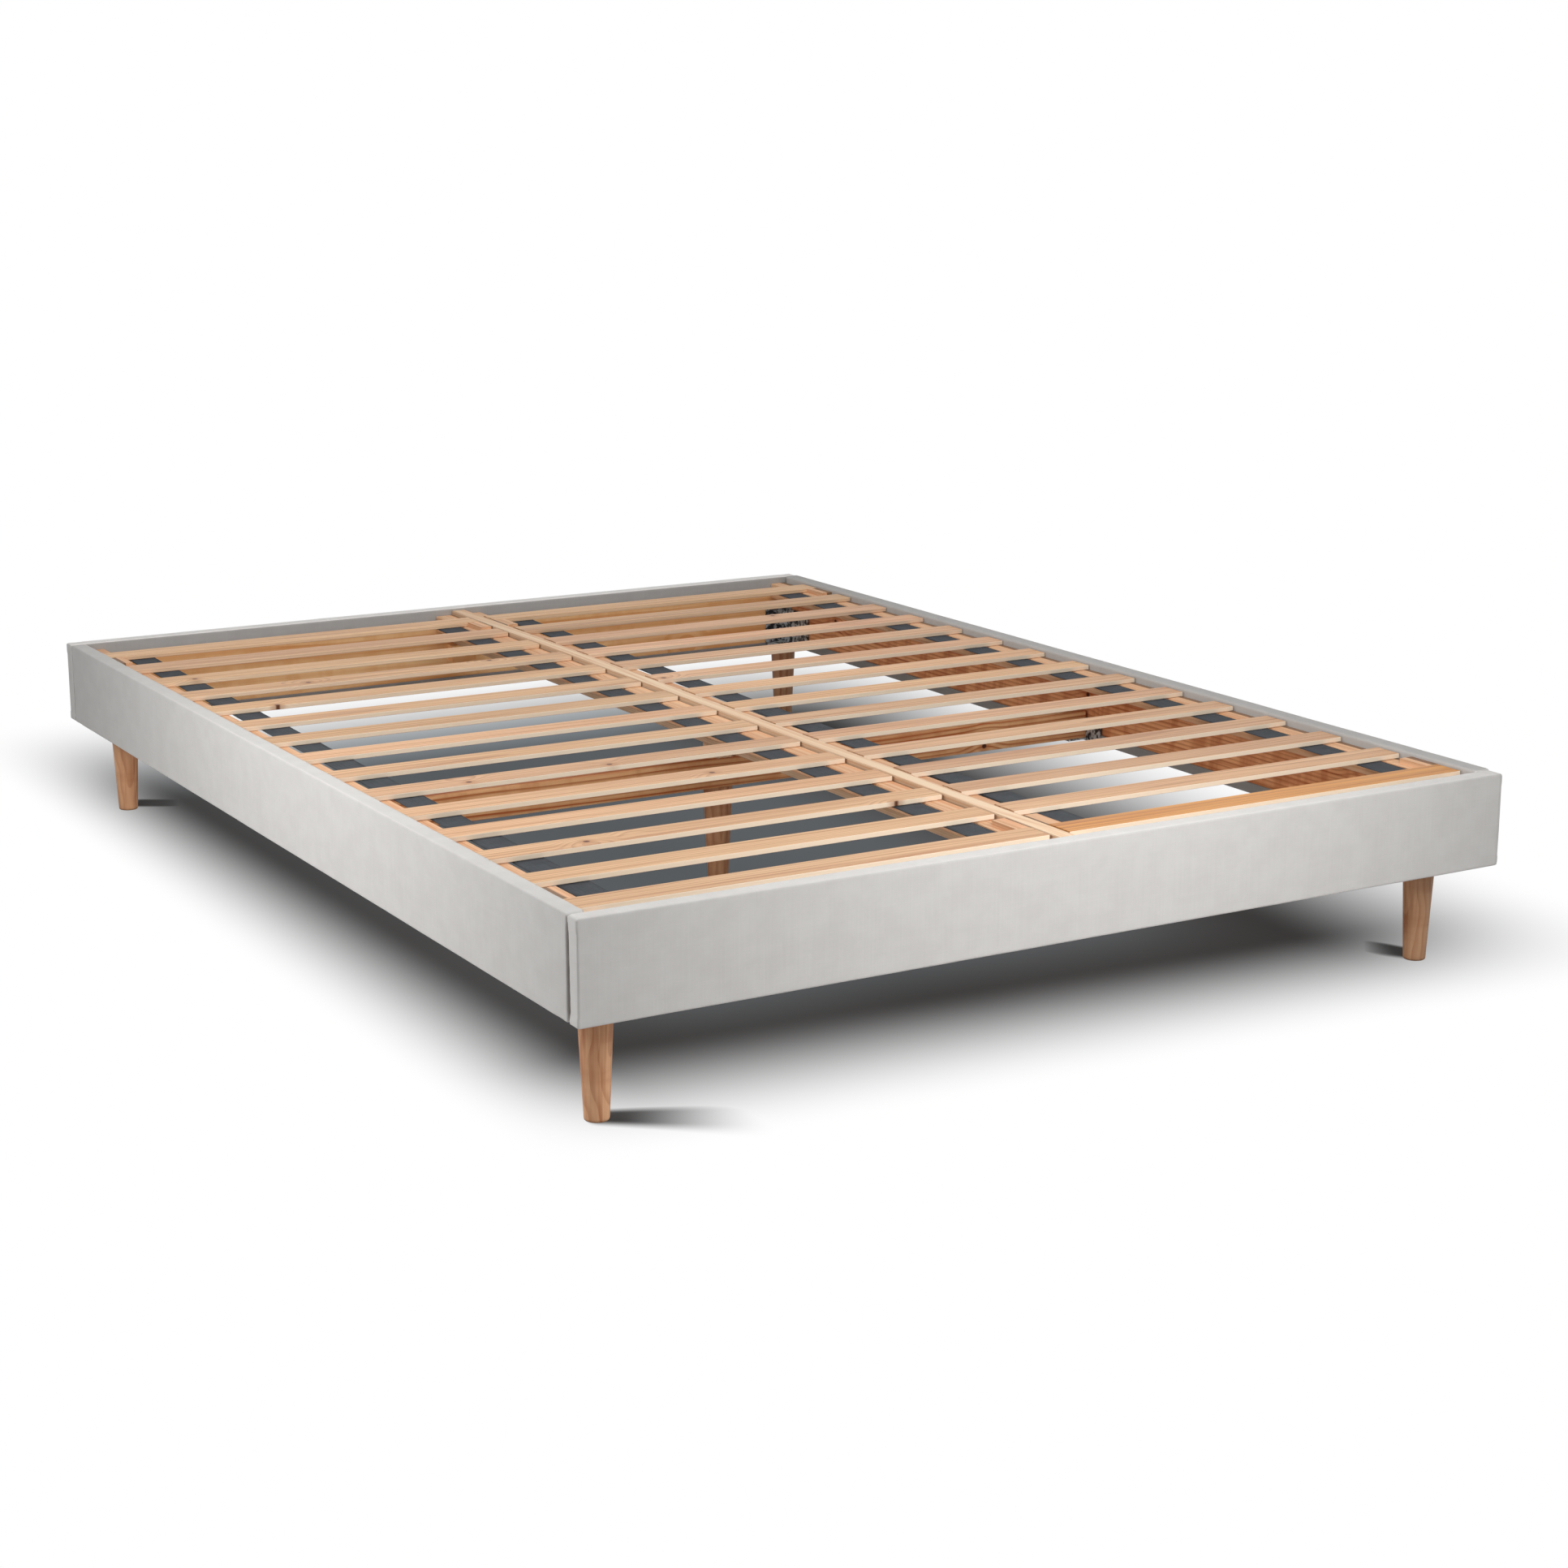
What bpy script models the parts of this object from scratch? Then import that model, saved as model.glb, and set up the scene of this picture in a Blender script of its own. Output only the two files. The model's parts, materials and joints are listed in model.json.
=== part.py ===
"""Upholstered bed base for a 140 x 190 cm mattress, with two lift-out slat rolls.

Four softwood rails, each wrapped in a padded fabric cover, are joined at the corners
by pressed steel brackets that also hold the turned wooden legs. A middle beam runs
from head to foot over a cross rail and a fifth leg. Ledgers on the side rails and on
the beam carry two rolls of flat slats, which webbing tapes keep at an even spacing.

Metres, +Z up. The origin lies on the floor under the middle of the bed, +X points to
the right hand side and +Y to the head.
"""

import math

import bmesh
import bpy
from mathutils import Matrix

# Driving dimensions
BED_WIDTH = 1.400
BED_LENGTH = 1.900
LEG_LENGTH = 0.150
SLAT_COUNT = 15

# Fits: the gap between touching pieces, how far a cutter runs past its work, and how
# far two solids run into each other before they are united
CLEARANCE = 0.0003
OVERRUN = 0.004
JOIN_DEPTH = 0.0005
MERGE_DISTANCE = 0.00001

# Rails: a board with rounded edges in a sleeve of fabric, padded outside and on top
BOARD_THICKNESS = 0.021
BOARD_HEIGHT = 0.125
BOARD_EDGE_RADIUS = 0.003
FABRIC_THICKNESS = 0.001
PADDED_THICKNESS = 0.003
COVER_EDGE_RADIUS = 0.0045
TOP_TURN_IN = 0.026
BOTTOM_TURN_IN = 0.016
END_TURN_IN = 0.022
CORNER_JOINT_GAP = 0.003
RAIL_DROP_BELOW_LEG_TOP = 0.005

# Slats and the webbing tapes under them
SLAT_WIDTH = 0.045
SLAT_THICKNESS = 0.007
SLAT_EDGE_RADIUS = 0.0010
SLAT_DEPTH_BELOW_RAIL = 0.004
SLAT_END_CLEARANCE = 0.003
ROLL_TO_FOOT_RAIL = 0.027
ROLL_TO_HEAD_RAIL = 0.074
TAPE_WIDTH = 0.042
TAPE_THICKNESS = 0.0015
TAPE_INSET = 0.054
TAPE_EDGE_RADIUS = 0.0004

# Ledgers with stop blocks, the beam with its packer and end bearings, the cross rail
LEDGER_WIDTH = 0.030
LEDGER_HEIGHT = 0.028
STOP_WIDTH = 0.022
STOP_THICKNESS = 0.007
STOP_GAP_SHARE = 0.7
BEAM_WIDTH = 0.025
PACKER_HEIGHT = 0.016
PACKER_LENGTH = 0.045
BEARING_WIDTH = 0.045
BEARING_DEPTH = 0.022
BEARING_HEIGHT = 0.028
CROSS_RAIL_WIDTH = 0.045
CROSS_RAIL_HEIGHT = 0.045
CROSS_RAIL_TOWARDS_FOOT = 0.020
TIMBER_CHAMFER = 0.0015
TIMBER_END_CLEARANCE = 0.001

# Turned legs, and the threaded rods that hold them
LEG_INSET_ACROSS = 0.064
LEG_INSET_ALONG = 0.085
LEG_TOP_RADIUS = 0.0225
LEG_FOOT_RADIUS = 0.0155
LEG_FOOT_ROUNDING = 0.0025
LEG_TOP_CHAMFER = 0.001
ROD_RADIUS = 0.004
ROD_CHAMFER = 0.0008
ROD_DEPTH_IN_LEG = 0.034
SOCKET_SPARE_DEPTH = 0.004
NUT_ACROSS_FLATS = 0.013
NUT_HEIGHT = 0.0065
ROD_END_ABOVE_NUT = 0.0025
NUT_WELL_CLEARANCE = 0.003
NUT_WELL_FLOOR = 0.006

# Steel brackets and their screws
STEEL_THICKNESS = 0.0025
STEEL_BEND_RADIUS = 0.0020
END_FLANGE_BEYOND_AXIS = 0.004
SIDE_FLANGE_BEYOND_AXIS = 0.030
FLANGE_BELOW_LEDGER = 0.020
LEG_PLATE_MARGIN = 0.004
CROSS_PLATE_HEIGHT = 0.036
CROSS_PLATE_WING = 0.040
CROSS_SHELF_DEPTH = 0.036
PLATE_CORNER_RADIUS = 0.005
SCREW_RADIUS = 0.0022
SCREW_LENGTH = 0.017
SCREW_POINT = 0.004
SCREW_HEAD_RADIUS = 0.0045
SCREW_HEAD_HEIGHT = 0.0022

# Places of the screws, as shares of the flange, wing or shelf that they hold
CORNER_SCREW_SHARES = (0.52, 0.84)
CORNER_SCREW_HEIGHT_SHARE = 0.60
CROSS_SCREW_WING_SHARE = 0.55
CROSS_SCREW_HEIGHT_SHARE = 0.62
SHELF_SCREW_SHARE = 0.55
SCREW_CROWN_SHARE = 0.7

# How finely round forms are divided, and the angle from which an edge stays crisp
EDGE_SEGMENTS = 3
SLAT_EDGE_SEGMENTS = 2
ARC_SEGMENTS = 8
LEG_SEGMENTS = 28
ROD_SEGMENTS = 12
SCREW_SEGMENTS = 10
CRISP_ANGLE = math.radians(35)

# Worked out: build-up of a rail
BOARD_INSET = FABRIC_THICKNESS + CLEARANCE
PADDING_STEP = CLEARANCE + PADDED_THICKNESS
RAIL_THICKNESS = BOARD_INSET + BOARD_THICKNESS + PADDING_STEP
RAIL_HEIGHT = BOARD_INSET + BOARD_HEIGHT + PADDING_STEP
RAIL_UNDERSIDE = LEG_LENGTH - RAIL_DROP_BELOW_LEG_TOP
RAIL_TOP = RAIL_UNDERSIDE + RAIL_HEIGHT
INNER_WIDTH = BED_WIDTH - 2 * RAIL_THICKNESS
INNER_LENGTH = BED_LENGTH - 2 * RAIL_THICKNESS
SIDE_RAIL_LENGTH = INNER_LENGTH - 2 * CORNER_JOINT_GAP

# Worked out: slats
SLAT_TOP = RAIL_TOP - SLAT_DEPTH_BELOW_RAIL
SLAT_UNDERSIDE = SLAT_TOP - SLAT_THICKNESS
SLAT_START = BEAM_WIDTH / 2 + SLAT_END_CLEARANCE
SLAT_LENGTH = INNER_WIDTH / 2 - SLAT_END_CLEARANCE - SLAT_START
SLAT_MIDDLE = SLAT_START + SLAT_LENGTH / 2
ROLL_LENGTH = INNER_LENGTH - ROLL_TO_FOOT_RAIL - ROLL_TO_HEAD_RAIL
ROLL_MIDDLE = (ROLL_TO_FOOT_RAIL - ROLL_TO_HEAD_RAIL) / 2
SLAT_PITCH = (ROLL_LENGTH - SLAT_WIDTH) / (SLAT_COUNT - 1)

# Worked out: timber under the slats
LEDGER_TOP = SLAT_UNDERSIDE - CLEARANCE
LEDGER_UNDERSIDE = LEDGER_TOP - LEDGER_HEIGHT
TIMBER_LENGTH = INNER_LENGTH - 2 * TIMBER_END_CLEARANCE
CROSS_RAIL_UNDERSIDE = LEG_LENGTH + CLEARANCE
CROSS_RAIL_TOP = CROSS_RAIL_UNDERSIDE + CROSS_RAIL_HEIGHT
BEAM_UNDERSIDE = CROSS_RAIL_TOP + CLEARANCE + PACKER_HEIGHT
BEAM_HEIGHT = SLAT_TOP - BEAM_UNDERSIDE

# Worked out: steelwork
STEEL_BACK = CLEARANCE + STEEL_THICKNESS
LEG_PLATE_UNDERSIDE = LEG_LENGTH + CLEARANCE
AXIS_FROM_SIDE = LEG_INSET_ACROSS - RAIL_THICKNESS - CLEARANCE
AXIS_FROM_END = LEG_INSET_ALONG - RAIL_THICKNESS - CLEARANCE
END_FLANGE_LENGTH = AXIS_FROM_SIDE + END_FLANGE_BEYOND_AXIS
SIDE_FLANGE_LENGTH = AXIS_FROM_END + SIDE_FLANGE_BEYOND_AXIS
FLANGE_HEIGHT = LEDGER_UNDERSIDE - FLANGE_BELOW_LEDGER - LEG_PLATE_UNDERSIDE
SHELF_UNDERSIDE = CROSS_RAIL_UNDERSIDE - CLEARANCE - STEEL_THICKNESS
CROSS_SCREW_OFFSET = CROSS_RAIL_WIDTH / 2 + CROSS_PLATE_WING * CROSS_SCREW_WING_SHARE
SHELF_SCREW_OFFSET = CLEARANCE + CROSS_SHELF_DEPTH * SHELF_SCREW_SHARE
ROD_HOLE_RADIUS = ROD_RADIUS + CLEARANCE
NUT_CORNER_RADIUS = NUT_ACROSS_FLATS / 2 / math.cos(math.pi / 6)
SCREW_HOLE_RADIUS = SCREW_RADIUS + CLEARANCE
SCREW_HOLE_DEPTH = SCREW_LENGTH - STEEL_THICKNESS

# Colour as linear red, green and blue, then roughness and metallic
FINISHES = {
    "upholstery": ((0.58, 0.56, 0.53), 0.90, 0.0),
    "rail_timber": ((0.32, 0.13, 0.055), 0.60, 0.0),
    "slat_timber": ((0.66, 0.38, 0.19), 0.50, 0.0),
    "leg_timber": ((0.45, 0.24, 0.11), 0.45, 0.0),
    "webbing": ((0.055, 0.055, 0.060), 0.85, 0.0),
    "zinc_steel": ((0.55, 0.56, 0.55), 0.38, 1.0),
}


# Objects and materials

def clear_scene():
    """Remove every object of the open scene."""
    for old in list(bpy.data.objects):
        bpy.data.objects.remove(old, do_unlink=True)


def finish(name):
    """The named material, made the first time it is asked for."""
    found = bpy.data.materials.get(name)
    if found:
        return found
    colour, roughness, metallic = FINISHES[name]
    made = bpy.data.materials.new(name)
    made.use_nodes = True
    shader = made.node_tree.nodes["Principled BSDF"]
    shader.inputs["Base Color"].default_value = (*colour, 1.0)
    shader.inputs["Roughness"].default_value = roughness
    shader.inputs["Metallic"].default_value = metallic
    return made


def mesh_from(name, shape):
    """Turn a bmesh into mesh data whose faces point outwards, and free it."""
    bmesh.ops.recalc_face_normals(shape, faces=shape.faces)
    data = bpy.data.meshes.new(name)
    shape.to_mesh(data)
    shape.free()
    return data


def linked(name, data, parent=None, matrix=None):
    """Add an object to the scene, or an empty where there is no mesh."""
    made = bpy.data.objects.new(name, data)
    bpy.context.collection.objects.link(made)
    made.parent = parent
    if matrix is not None:
        made.matrix_local = matrix
    return made


def place(name, data, finish_name, parent=None, matrix=None):
    """Add one piece of the bed, smooth on its round faces and crisp on its edges."""
    if not data.materials:
        data.materials.append(finish(finish_name))
        data.shade_smooth()
        data.set_sharp_from_angle(angle=CRISP_ANGLE)
    return linked(name, data, parent, matrix)


# Shapes

def block(size, low):
    """A box of this size, from its lowest corner."""
    shape = bmesh.new()
    bmesh.ops.create_cube(shape, size=1.0)
    bmesh.ops.scale(shape, vec=size, verts=shape.verts)
    middle = [start + side / 2 for start, side in zip(low, size)]
    bmesh.ops.translate(shape, vec=middle, verts=shape.verts)
    return shape


def rounded(shape, radius, segments, edges=None):
    """Round the given edges of a shape, or all of them."""
    chosen = list(shape.edges) if edges is None else edges
    bmesh.ops.bevel(
        shape, geom=chosen, offset=radius, offset_type="OFFSET", segments=segments,
        profile=0.5, affect="EDGES", material=-1, clamp_overlap=True,
    )
    return shape


def edges_along(shape, axis):
    """The edges of a shape that run along one axis."""
    found = []
    for edge in shape.edges:
        run = edge.verts[1].co - edge.verts[0].co
        if abs(run[axis]) > run.length / 2:
            found.append(edge)
    return found


def timber(size, low):
    """A planed length of timber, with small chamfers along its long edges."""
    longest = max(range(3), key=lambda axis: size[axis])
    shape = block(size, low)
    return rounded(shape, TIMBER_CHAMFER, 1, edges_along(shape, longest))


def prism(outline, depth):
    """Push a flat outline in the XY plane up by a depth."""
    shape = bmesh.new()
    base = shape.faces.new([shape.verts.new((x, y, 0.0)) for x, y in outline])
    grown = bmesh.ops.extrude_face_region(shape, geom=[base])
    top = [item for item in grown["geom"] if isinstance(item, bmesh.types.BMVert)]
    bmesh.ops.translate(shape, vec=(0.0, 0.0, depth), verts=top)
    return shape


def turned(profile, segments):
    """Turn a profile of (radius, height) points about Z. Both its ends lie on the axis."""
    shape = bmesh.new()
    verts = [shape.verts.new((radius, 0.0, height)) for radius, height in profile]
    edges = [shape.edges.new(pair) for pair in zip(verts, verts[1:])]
    bmesh.ops.spin(
        shape, geom=verts + edges, cent=(0.0, 0.0, 0.0), axis=(0.0, 0.0, 1.0),
        angle=math.tau, steps=segments, use_merge=True, use_duplicate=False,
    )
    bmesh.ops.remove_doubles(shape, verts=shape.verts, dist=MERGE_DISTANCE)
    return shape


def arc(centre, radius, start, end, steps=EDGE_SEGMENTS):
    """Points on an arc, from one angle to another."""
    angles = [start + (end - start) * step / steps for step in range(steps + 1)]
    return [(centre[0] + radius * math.cos(a), centre[1] + radius * math.sin(a)) for a in angles]


def rounded_rectangle(width, height, radius):
    """Outline with round corners, centred on X and standing on Y = 0."""
    side = width / 2 - radius
    centres = ((side, height - radius), (-side, height - radius), (-side, radius), (side, radius))
    points = []
    for quarter, centre in enumerate(centres):
        start = quarter * math.pi / 2
        points += arc(centre, radius, start, start + math.pi / 2)
    return points


def hexagon(height):
    """A nut or bolt head that stands on the XY plane."""
    return prism(arc((0.0, 0.0), NUT_CORNER_RADIUS, 0.0, math.tau, 6)[:-1], height)


def rod(low, high):
    """A threaded rod on the Z axis, with chamfered ends."""
    core = ROD_RADIUS - ROD_CHAMFER
    profile = [
        (0.0, low),
        (core, low),
        (ROD_RADIUS, low + ROD_CHAMFER),
        (ROD_RADIUS, high - ROD_CHAMFER),
        (core, high),
        (0.0, high),
    ]
    return turned(profile, ROD_SEGMENTS)


def screw(matrix):
    """A pan-head screw that sits on the XY plane of a matrix and points along its +Z."""
    crown = -SCREW_HEAD_HEIGHT * SCREW_CROWN_SHARE
    profile = [
        (0.0, -SCREW_HEAD_HEIGHT),
        (SCREW_HEAD_RADIUS * SCREW_CROWN_SHARE, crown),
        (SCREW_HEAD_RADIUS, JOIN_DEPTH),
        (SCREW_RADIUS, JOIN_DEPTH),
        (SCREW_RADIUS, SCREW_LENGTH - SCREW_POINT),
        (0.0, SCREW_LENGTH),
    ]
    shape = turned(profile, SCREW_SEGMENTS)
    bmesh.ops.transform(shape, matrix=matrix, verts=shape.verts)
    return shape


def drill(radius, depth, matrix):
    """A cutter that enters the XY plane of a matrix and goes to a depth along its +Z."""
    shape = bmesh.new()
    length = depth + OVERRUN
    middle = Matrix.Translation((0.0, 0.0, depth - length / 2))
    bmesh.ops.create_cone(
        shape, cap_ends=True, segments=ROD_SEGMENTS, radius1=radius, radius2=radius,
        depth=length, matrix=matrix @ middle,
    )
    return shape


def at(x, y, z):
    return Matrix.Translation((x, y, z))


def outwards(x, y, z):
    """A place whose +Z points along +Y, for screws and drills that enter a rail."""
    return at(x, y, z) @ Matrix.Rotation(-math.pi / 2, 4, "X")


def worked(name, shape, additions=(), cutters=()):
    """Unite a shape with others, cut it, and return the finished mesh data."""
    body = linked(name, mesh_from(name, shape))
    helpers = []
    for operation, shapes in (("UNION", additions), ("DIFFERENCE", cutters)):
        for other in shapes:
            helper = linked(name + "_helper", mesh_from(name + "_helper", other))
            helpers.append(helper)
            step = body.modifiers.new(operation, "BOOLEAN")
            step.operation = operation
            step.solver = "EXACT"
            step.object = helper
    seen = body.evaluated_get(bpy.context.evaluated_depsgraph_get())
    data = bpy.data.meshes.new_from_object(seen)
    data.name = name
    for spent in [body] + helpers:
        bpy.data.objects.remove(spent, do_unlink=True)
    return data


# Rails

class Side:
    """Local frame of a rail: X along it, Y outwards from its inner face, Z up from below."""

    def __init__(self, name, turn, reach, length, corner):
        self.name = name
        self.length = length
        self.corner = corner
        matrix = Matrix.Rotation(turn, 4, "Z") @ at(0.0, reach, RAIL_UNDERSIDE)
        self.empty = linked(name + "_side", None, matrix=matrix)

    @property
    def runs_across(self):
        return self.name in ("head", "foot")

    @property
    def cross_rail(self):
        """X at which the cross rail meets a side rail."""
        return CROSS_RAIL_TOWARDS_FOOT if self.name == "right" else -CROSS_RAIL_TOWARDS_FOOT

    def screw_places(self):
        """(x, z) of every screw that enters this rail."""
        height = LEG_PLATE_UNDERSIDE + FLANGE_HEIGHT * CORNER_SCREW_HEIGHT_SHARE - RAIL_UNDERSIDE
        flange = END_FLANGE_LENGTH if self.runs_across else SIDE_FLANGE_LENGTH
        places = []
        for share in CORNER_SCREW_SHARES:
            along = self.corner - CLEARANCE - flange * share
            places += [(-along, height), (along, height)]
        if not self.runs_across:
            height = SHELF_UNDERSIDE + CROSS_PLATE_HEIGHT * CROSS_SCREW_HEIGHT_SHARE - RAIL_UNDERSIDE
            for offset in (-CROSS_SCREW_OFFSET, CROSS_SCREW_OFFSET):
                places.append((self.cross_rail + offset, height))
        return places


def frame_sides():
    """The four rails' frames, by name."""
    half_width = INNER_WIDTH / 2
    half_length = INNER_LENGTH / 2
    sides = (
        Side("head", 0.0, half_length, BED_WIDTH, half_width),
        Side("foot", math.pi, half_length, BED_WIDTH, half_width),
        Side("left", math.pi / 2, half_width, SIDE_RAIL_LENGTH, half_length),
        Side("right", -math.pi / 2, half_width, SIDE_RAIL_LENGTH, half_length),
    )
    return {side.name: side for side in sides}


def rail_board(side):
    """Softwood board, drilled for screws; at head and foot a bearing block carries the beam."""
    half = side.length / 2 - BOARD_INSET
    size = (2 * half, BOARD_THICKNESS, BOARD_HEIGHT)
    shape = rounded(block(size, (-half, BOARD_INSET, BOARD_INSET)), BOARD_EDGE_RADIUS, EDGE_SEGMENTS)
    places = side.screw_places()
    drills = [drill(SCREW_HOLE_RADIUS, SCREW_HOLE_DEPTH, outwards(x, 0.0, z)) for x, z in places]
    bearings = []
    if side.runs_across:
        seat = BEAM_UNDERSIDE - CLEARANCE - RAIL_UNDERSIDE
        bearing_size = (BEARING_WIDTH, BEARING_DEPTH + BOARD_INSET + JOIN_DEPTH, BEARING_HEIGHT)
        bearings.append(block(bearing_size, (-BEARING_WIDTH / 2, -BEARING_DEPTH, seat - BEARING_HEIGHT)))
    return worked(side.name + "_rail", shape, bearings, drills)


def rail_cover(side):
    """Fabric sleeve round a board, open on the inner face between its turned-in edges."""
    half = side.length / 2
    skin = block((2 * half, RAIL_THICKNESS, RAIL_HEIGHT), (-half, 0.0, 0.0))
    rounded(skin, COVER_EDGE_RADIUS, EDGE_SEGMENTS)
    inside = half - FABRIC_THICKNESS
    hollow_size = (2 * inside, BOARD_THICKNESS + 2 * CLEARANCE, BOARD_HEIGHT + 2 * CLEARANCE)
    hollow = block(hollow_size, (-inside, FABRIC_THICKNESS, FABRIC_THICKNESS))
    rounded(hollow, BOARD_EDGE_RADIUS + CLEARANCE, EDGE_SEGMENTS)
    opening = half - END_TURN_IN
    window_size = (2 * opening, OVERRUN + BOARD_INSET, RAIL_HEIGHT - TOP_TURN_IN - BOTTOM_TURN_IN)
    window = block(window_size, (-opening, -OVERRUN, BOTTOM_TURN_IN))
    return worked(side.name + "_rail_cover", skin, cutters=[hollow, window])


def build_rails(sides):
    for side in sides.values():
        place(side.name + "_rail", rail_board(side), "rail_timber", side.empty)
        place(side.name + "_rail_cover", rail_cover(side), "upholstery", side.empty)


# Timber inside the frame

def build_beam():
    """Middle beam, with a packer glued under it where it crosses the cross rail."""
    beam = timber((BEAM_WIDTH, TIMBER_LENGTH, BEAM_HEIGHT), (-BEAM_WIDTH / 2, -TIMBER_LENGTH / 2, 0.0))
    packer_low = (-BEAM_WIDTH / 2, -CROSS_RAIL_TOWARDS_FOOT - PACKER_LENGTH / 2, -PACKER_HEIGHT)
    packer = block((BEAM_WIDTH, PACKER_LENGTH, PACKER_HEIGHT + JOIN_DEPTH), packer_low)
    data = worked("center_beam", beam, additions=[packer])
    place("center_beam", data, "slat_timber", matrix=at(0.0, 0.0, BEAM_UNDERSIDE))


def ledger(name, stop_side):
    """A ledger with two stop blocks glued on, flush with its face towards stop_side."""
    size = (LEDGER_WIDTH, TIMBER_LENGTH, LEDGER_HEIGHT)
    shape = timber(size, (-LEDGER_WIDTH / 2, -TIMBER_LENGTH / 2, 0.0))
    stop_length = (SLAT_PITCH - SLAT_WIDTH) * STOP_GAP_SHARE
    end_slat_edge = ROLL_LENGTH / 2 - SLAT_WIDTH - CLEARANCE
    low_x = LEDGER_WIDTH / 2 - STOP_WIDTH if stop_side > 0 else -LEDGER_WIDTH / 2
    stop_size = (STOP_WIDTH, stop_length, STOP_THICKNESS + JOIN_DEPTH)
    stops = [
        block(stop_size, (low_x, low_y, LEDGER_HEIGHT - JOIN_DEPTH))
        for low_y in (ROLL_MIDDLE + end_slat_edge - stop_length, ROLL_MIDDLE - end_slat_edge)
    ]
    return worked(name, shape, additions=stops)


def build_ledgers():
    """Two ledgers on the side rails and two on the flanks of the beam."""
    at_rail = INNER_WIDTH / 2 - CLEARANCE - LEDGER_WIDTH / 2
    at_beam = BEAM_WIDTH / 2 + CLEARANCE + LEDGER_WIDTH / 2
    towards_left = ledger("ledger_with_stops_left", -1)
    towards_right = ledger("ledger_with_stops_right", 1)
    for name, data, x in (
        ("left_ledger", towards_left, -at_rail),
        ("left_beam_ledger", towards_right, -at_beam),
        ("right_beam_ledger", towards_left, at_beam),
        ("right_ledger", towards_right, at_rail),
    ):
        place(name, data, "slat_timber", matrix=at(x, 0.0, LEDGER_UNDERSIDE))


def build_cross_rail():
    """Cross rail, bored for the middle leg's bolt and drilled for the shelf screws."""
    length = INNER_WIDTH - 2 * (STEEL_BACK + TIMBER_END_CLEARANCE)
    shape = timber((length, CROSS_RAIL_WIDTH, CROSS_RAIL_HEIGHT), (-length / 2, -CROSS_RAIL_WIDTH / 2, 0.0))
    downwards = at(0.0, 0.0, CROSS_RAIL_HEIGHT) @ Matrix.Rotation(math.pi, 4, "X")
    well_radius = NUT_CORNER_RADIUS + NUT_WELL_CLEARANCE
    cutters = [
        drill(well_radius, CROSS_RAIL_HEIGHT - NUT_WELL_FLOOR, downwards),
        drill(ROD_HOLE_RADIUS, NUT_WELL_FLOOR + OVERRUN, at(0.0, 0.0, 0.0)),
    ]
    end = INNER_WIDTH / 2 - SHELF_SCREW_OFFSET
    for x in (-end, end):
        cutters.append(drill(SCREW_HOLE_RADIUS, SCREW_HOLE_DEPTH, at(x, 0.0, 0.0)))
    data = worked("cross_rail", shape, cutters=cutters)
    place("cross_rail", data, "rail_timber", matrix=at(0.0, -CROSS_RAIL_TOWARDS_FOOT, CROSS_RAIL_UNDERSIDE))


# Slat rolls

def build_slat_rolls():
    """Two rolls of slats on pairs of tapes, each on an empty that lifts it out."""
    shape = block((SLAT_LENGTH, SLAT_WIDTH, SLAT_THICKNESS), (-SLAT_LENGTH / 2, -SLAT_WIDTH / 2, 0.0))
    rounded(shape, SLAT_EDGE_RADIUS, SLAT_EDGE_SEGMENTS, edges_along(shape, 0))
    slat = mesh_from("slat", shape)
    shape = block((TAPE_WIDTH, ROLL_LENGTH, TAPE_THICKNESS), (-TAPE_WIDTH / 2, -ROLL_LENGTH / 2, 0.0))
    rounded(shape, TAPE_EDGE_RADIUS, 1, edges_along(shape, 1))
    tape = mesh_from("tape", shape)
    tape_offset = SLAT_LENGTH / 2 - TAPE_INSET
    tape_low = -CLEARANCE - TAPE_THICKNESS
    for name, sign in (("left", -1), ("right", 1)):
        roll = linked(name + "_slat_roll", None, matrix=at(sign * SLAT_MIDDLE, ROLL_MIDDLE, SLAT_UNDERSIDE))
        for index in range(SLAT_COUNT):
            y = SLAT_PITCH * ((SLAT_COUNT - 1) / 2 - index)
            slat_name = "%s_slat_%02d" % (name, index + 1)
            place(slat_name, slat, "slat_timber", roll, at(0.0, y, 0.0))
        place(name + "_inner_tape", tape, "webbing", roll, at(-sign * tape_offset, 0.0, tape_low))
        place(name + "_outer_tape", tape, "webbing", roll, at(sign * tape_offset, 0.0, tape_low))


# Legs

def build_legs():
    """Five turned, evenly tapered legs with sockets for the threaded rods."""
    foot_centre = (LEG_FOOT_RADIUS - LEG_FOOT_ROUNDING, LEG_FOOT_ROUNDING)
    socket_floor = LEG_LENGTH - ROD_DEPTH_IN_LEG - SOCKET_SPARE_DEPTH
    profile = [(0.0, 0.0)]
    profile += arc(foot_centre, LEG_FOOT_ROUNDING, -math.pi / 2, 0.0)
    profile += [
        (LEG_TOP_RADIUS, LEG_LENGTH - LEG_TOP_CHAMFER),
        (LEG_TOP_RADIUS - LEG_TOP_CHAMFER, LEG_LENGTH),
        (ROD_HOLE_RADIUS, LEG_LENGTH),
        (ROD_HOLE_RADIUS, socket_floor),
        (0.0, socket_floor),
    ]
    data = mesh_from("leg", turned(profile, LEG_SEGMENTS))
    x = BED_WIDTH / 2 - LEG_INSET_ACROSS
    y = BED_LENGTH / 2 - LEG_INSET_ALONG
    for name, place_x, place_y in (
        ("head_left_leg", -x, y),
        ("head_right_leg", x, y),
        ("foot_left_leg", -x, -y),
        ("foot_right_leg", x, -y),
        ("center_leg", 0.0, -CROSS_RAIL_TOWARDS_FOOT),
    ):
        place(name, data, "leg_timber", matrix=at(place_x, place_y, 0.0))


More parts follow.
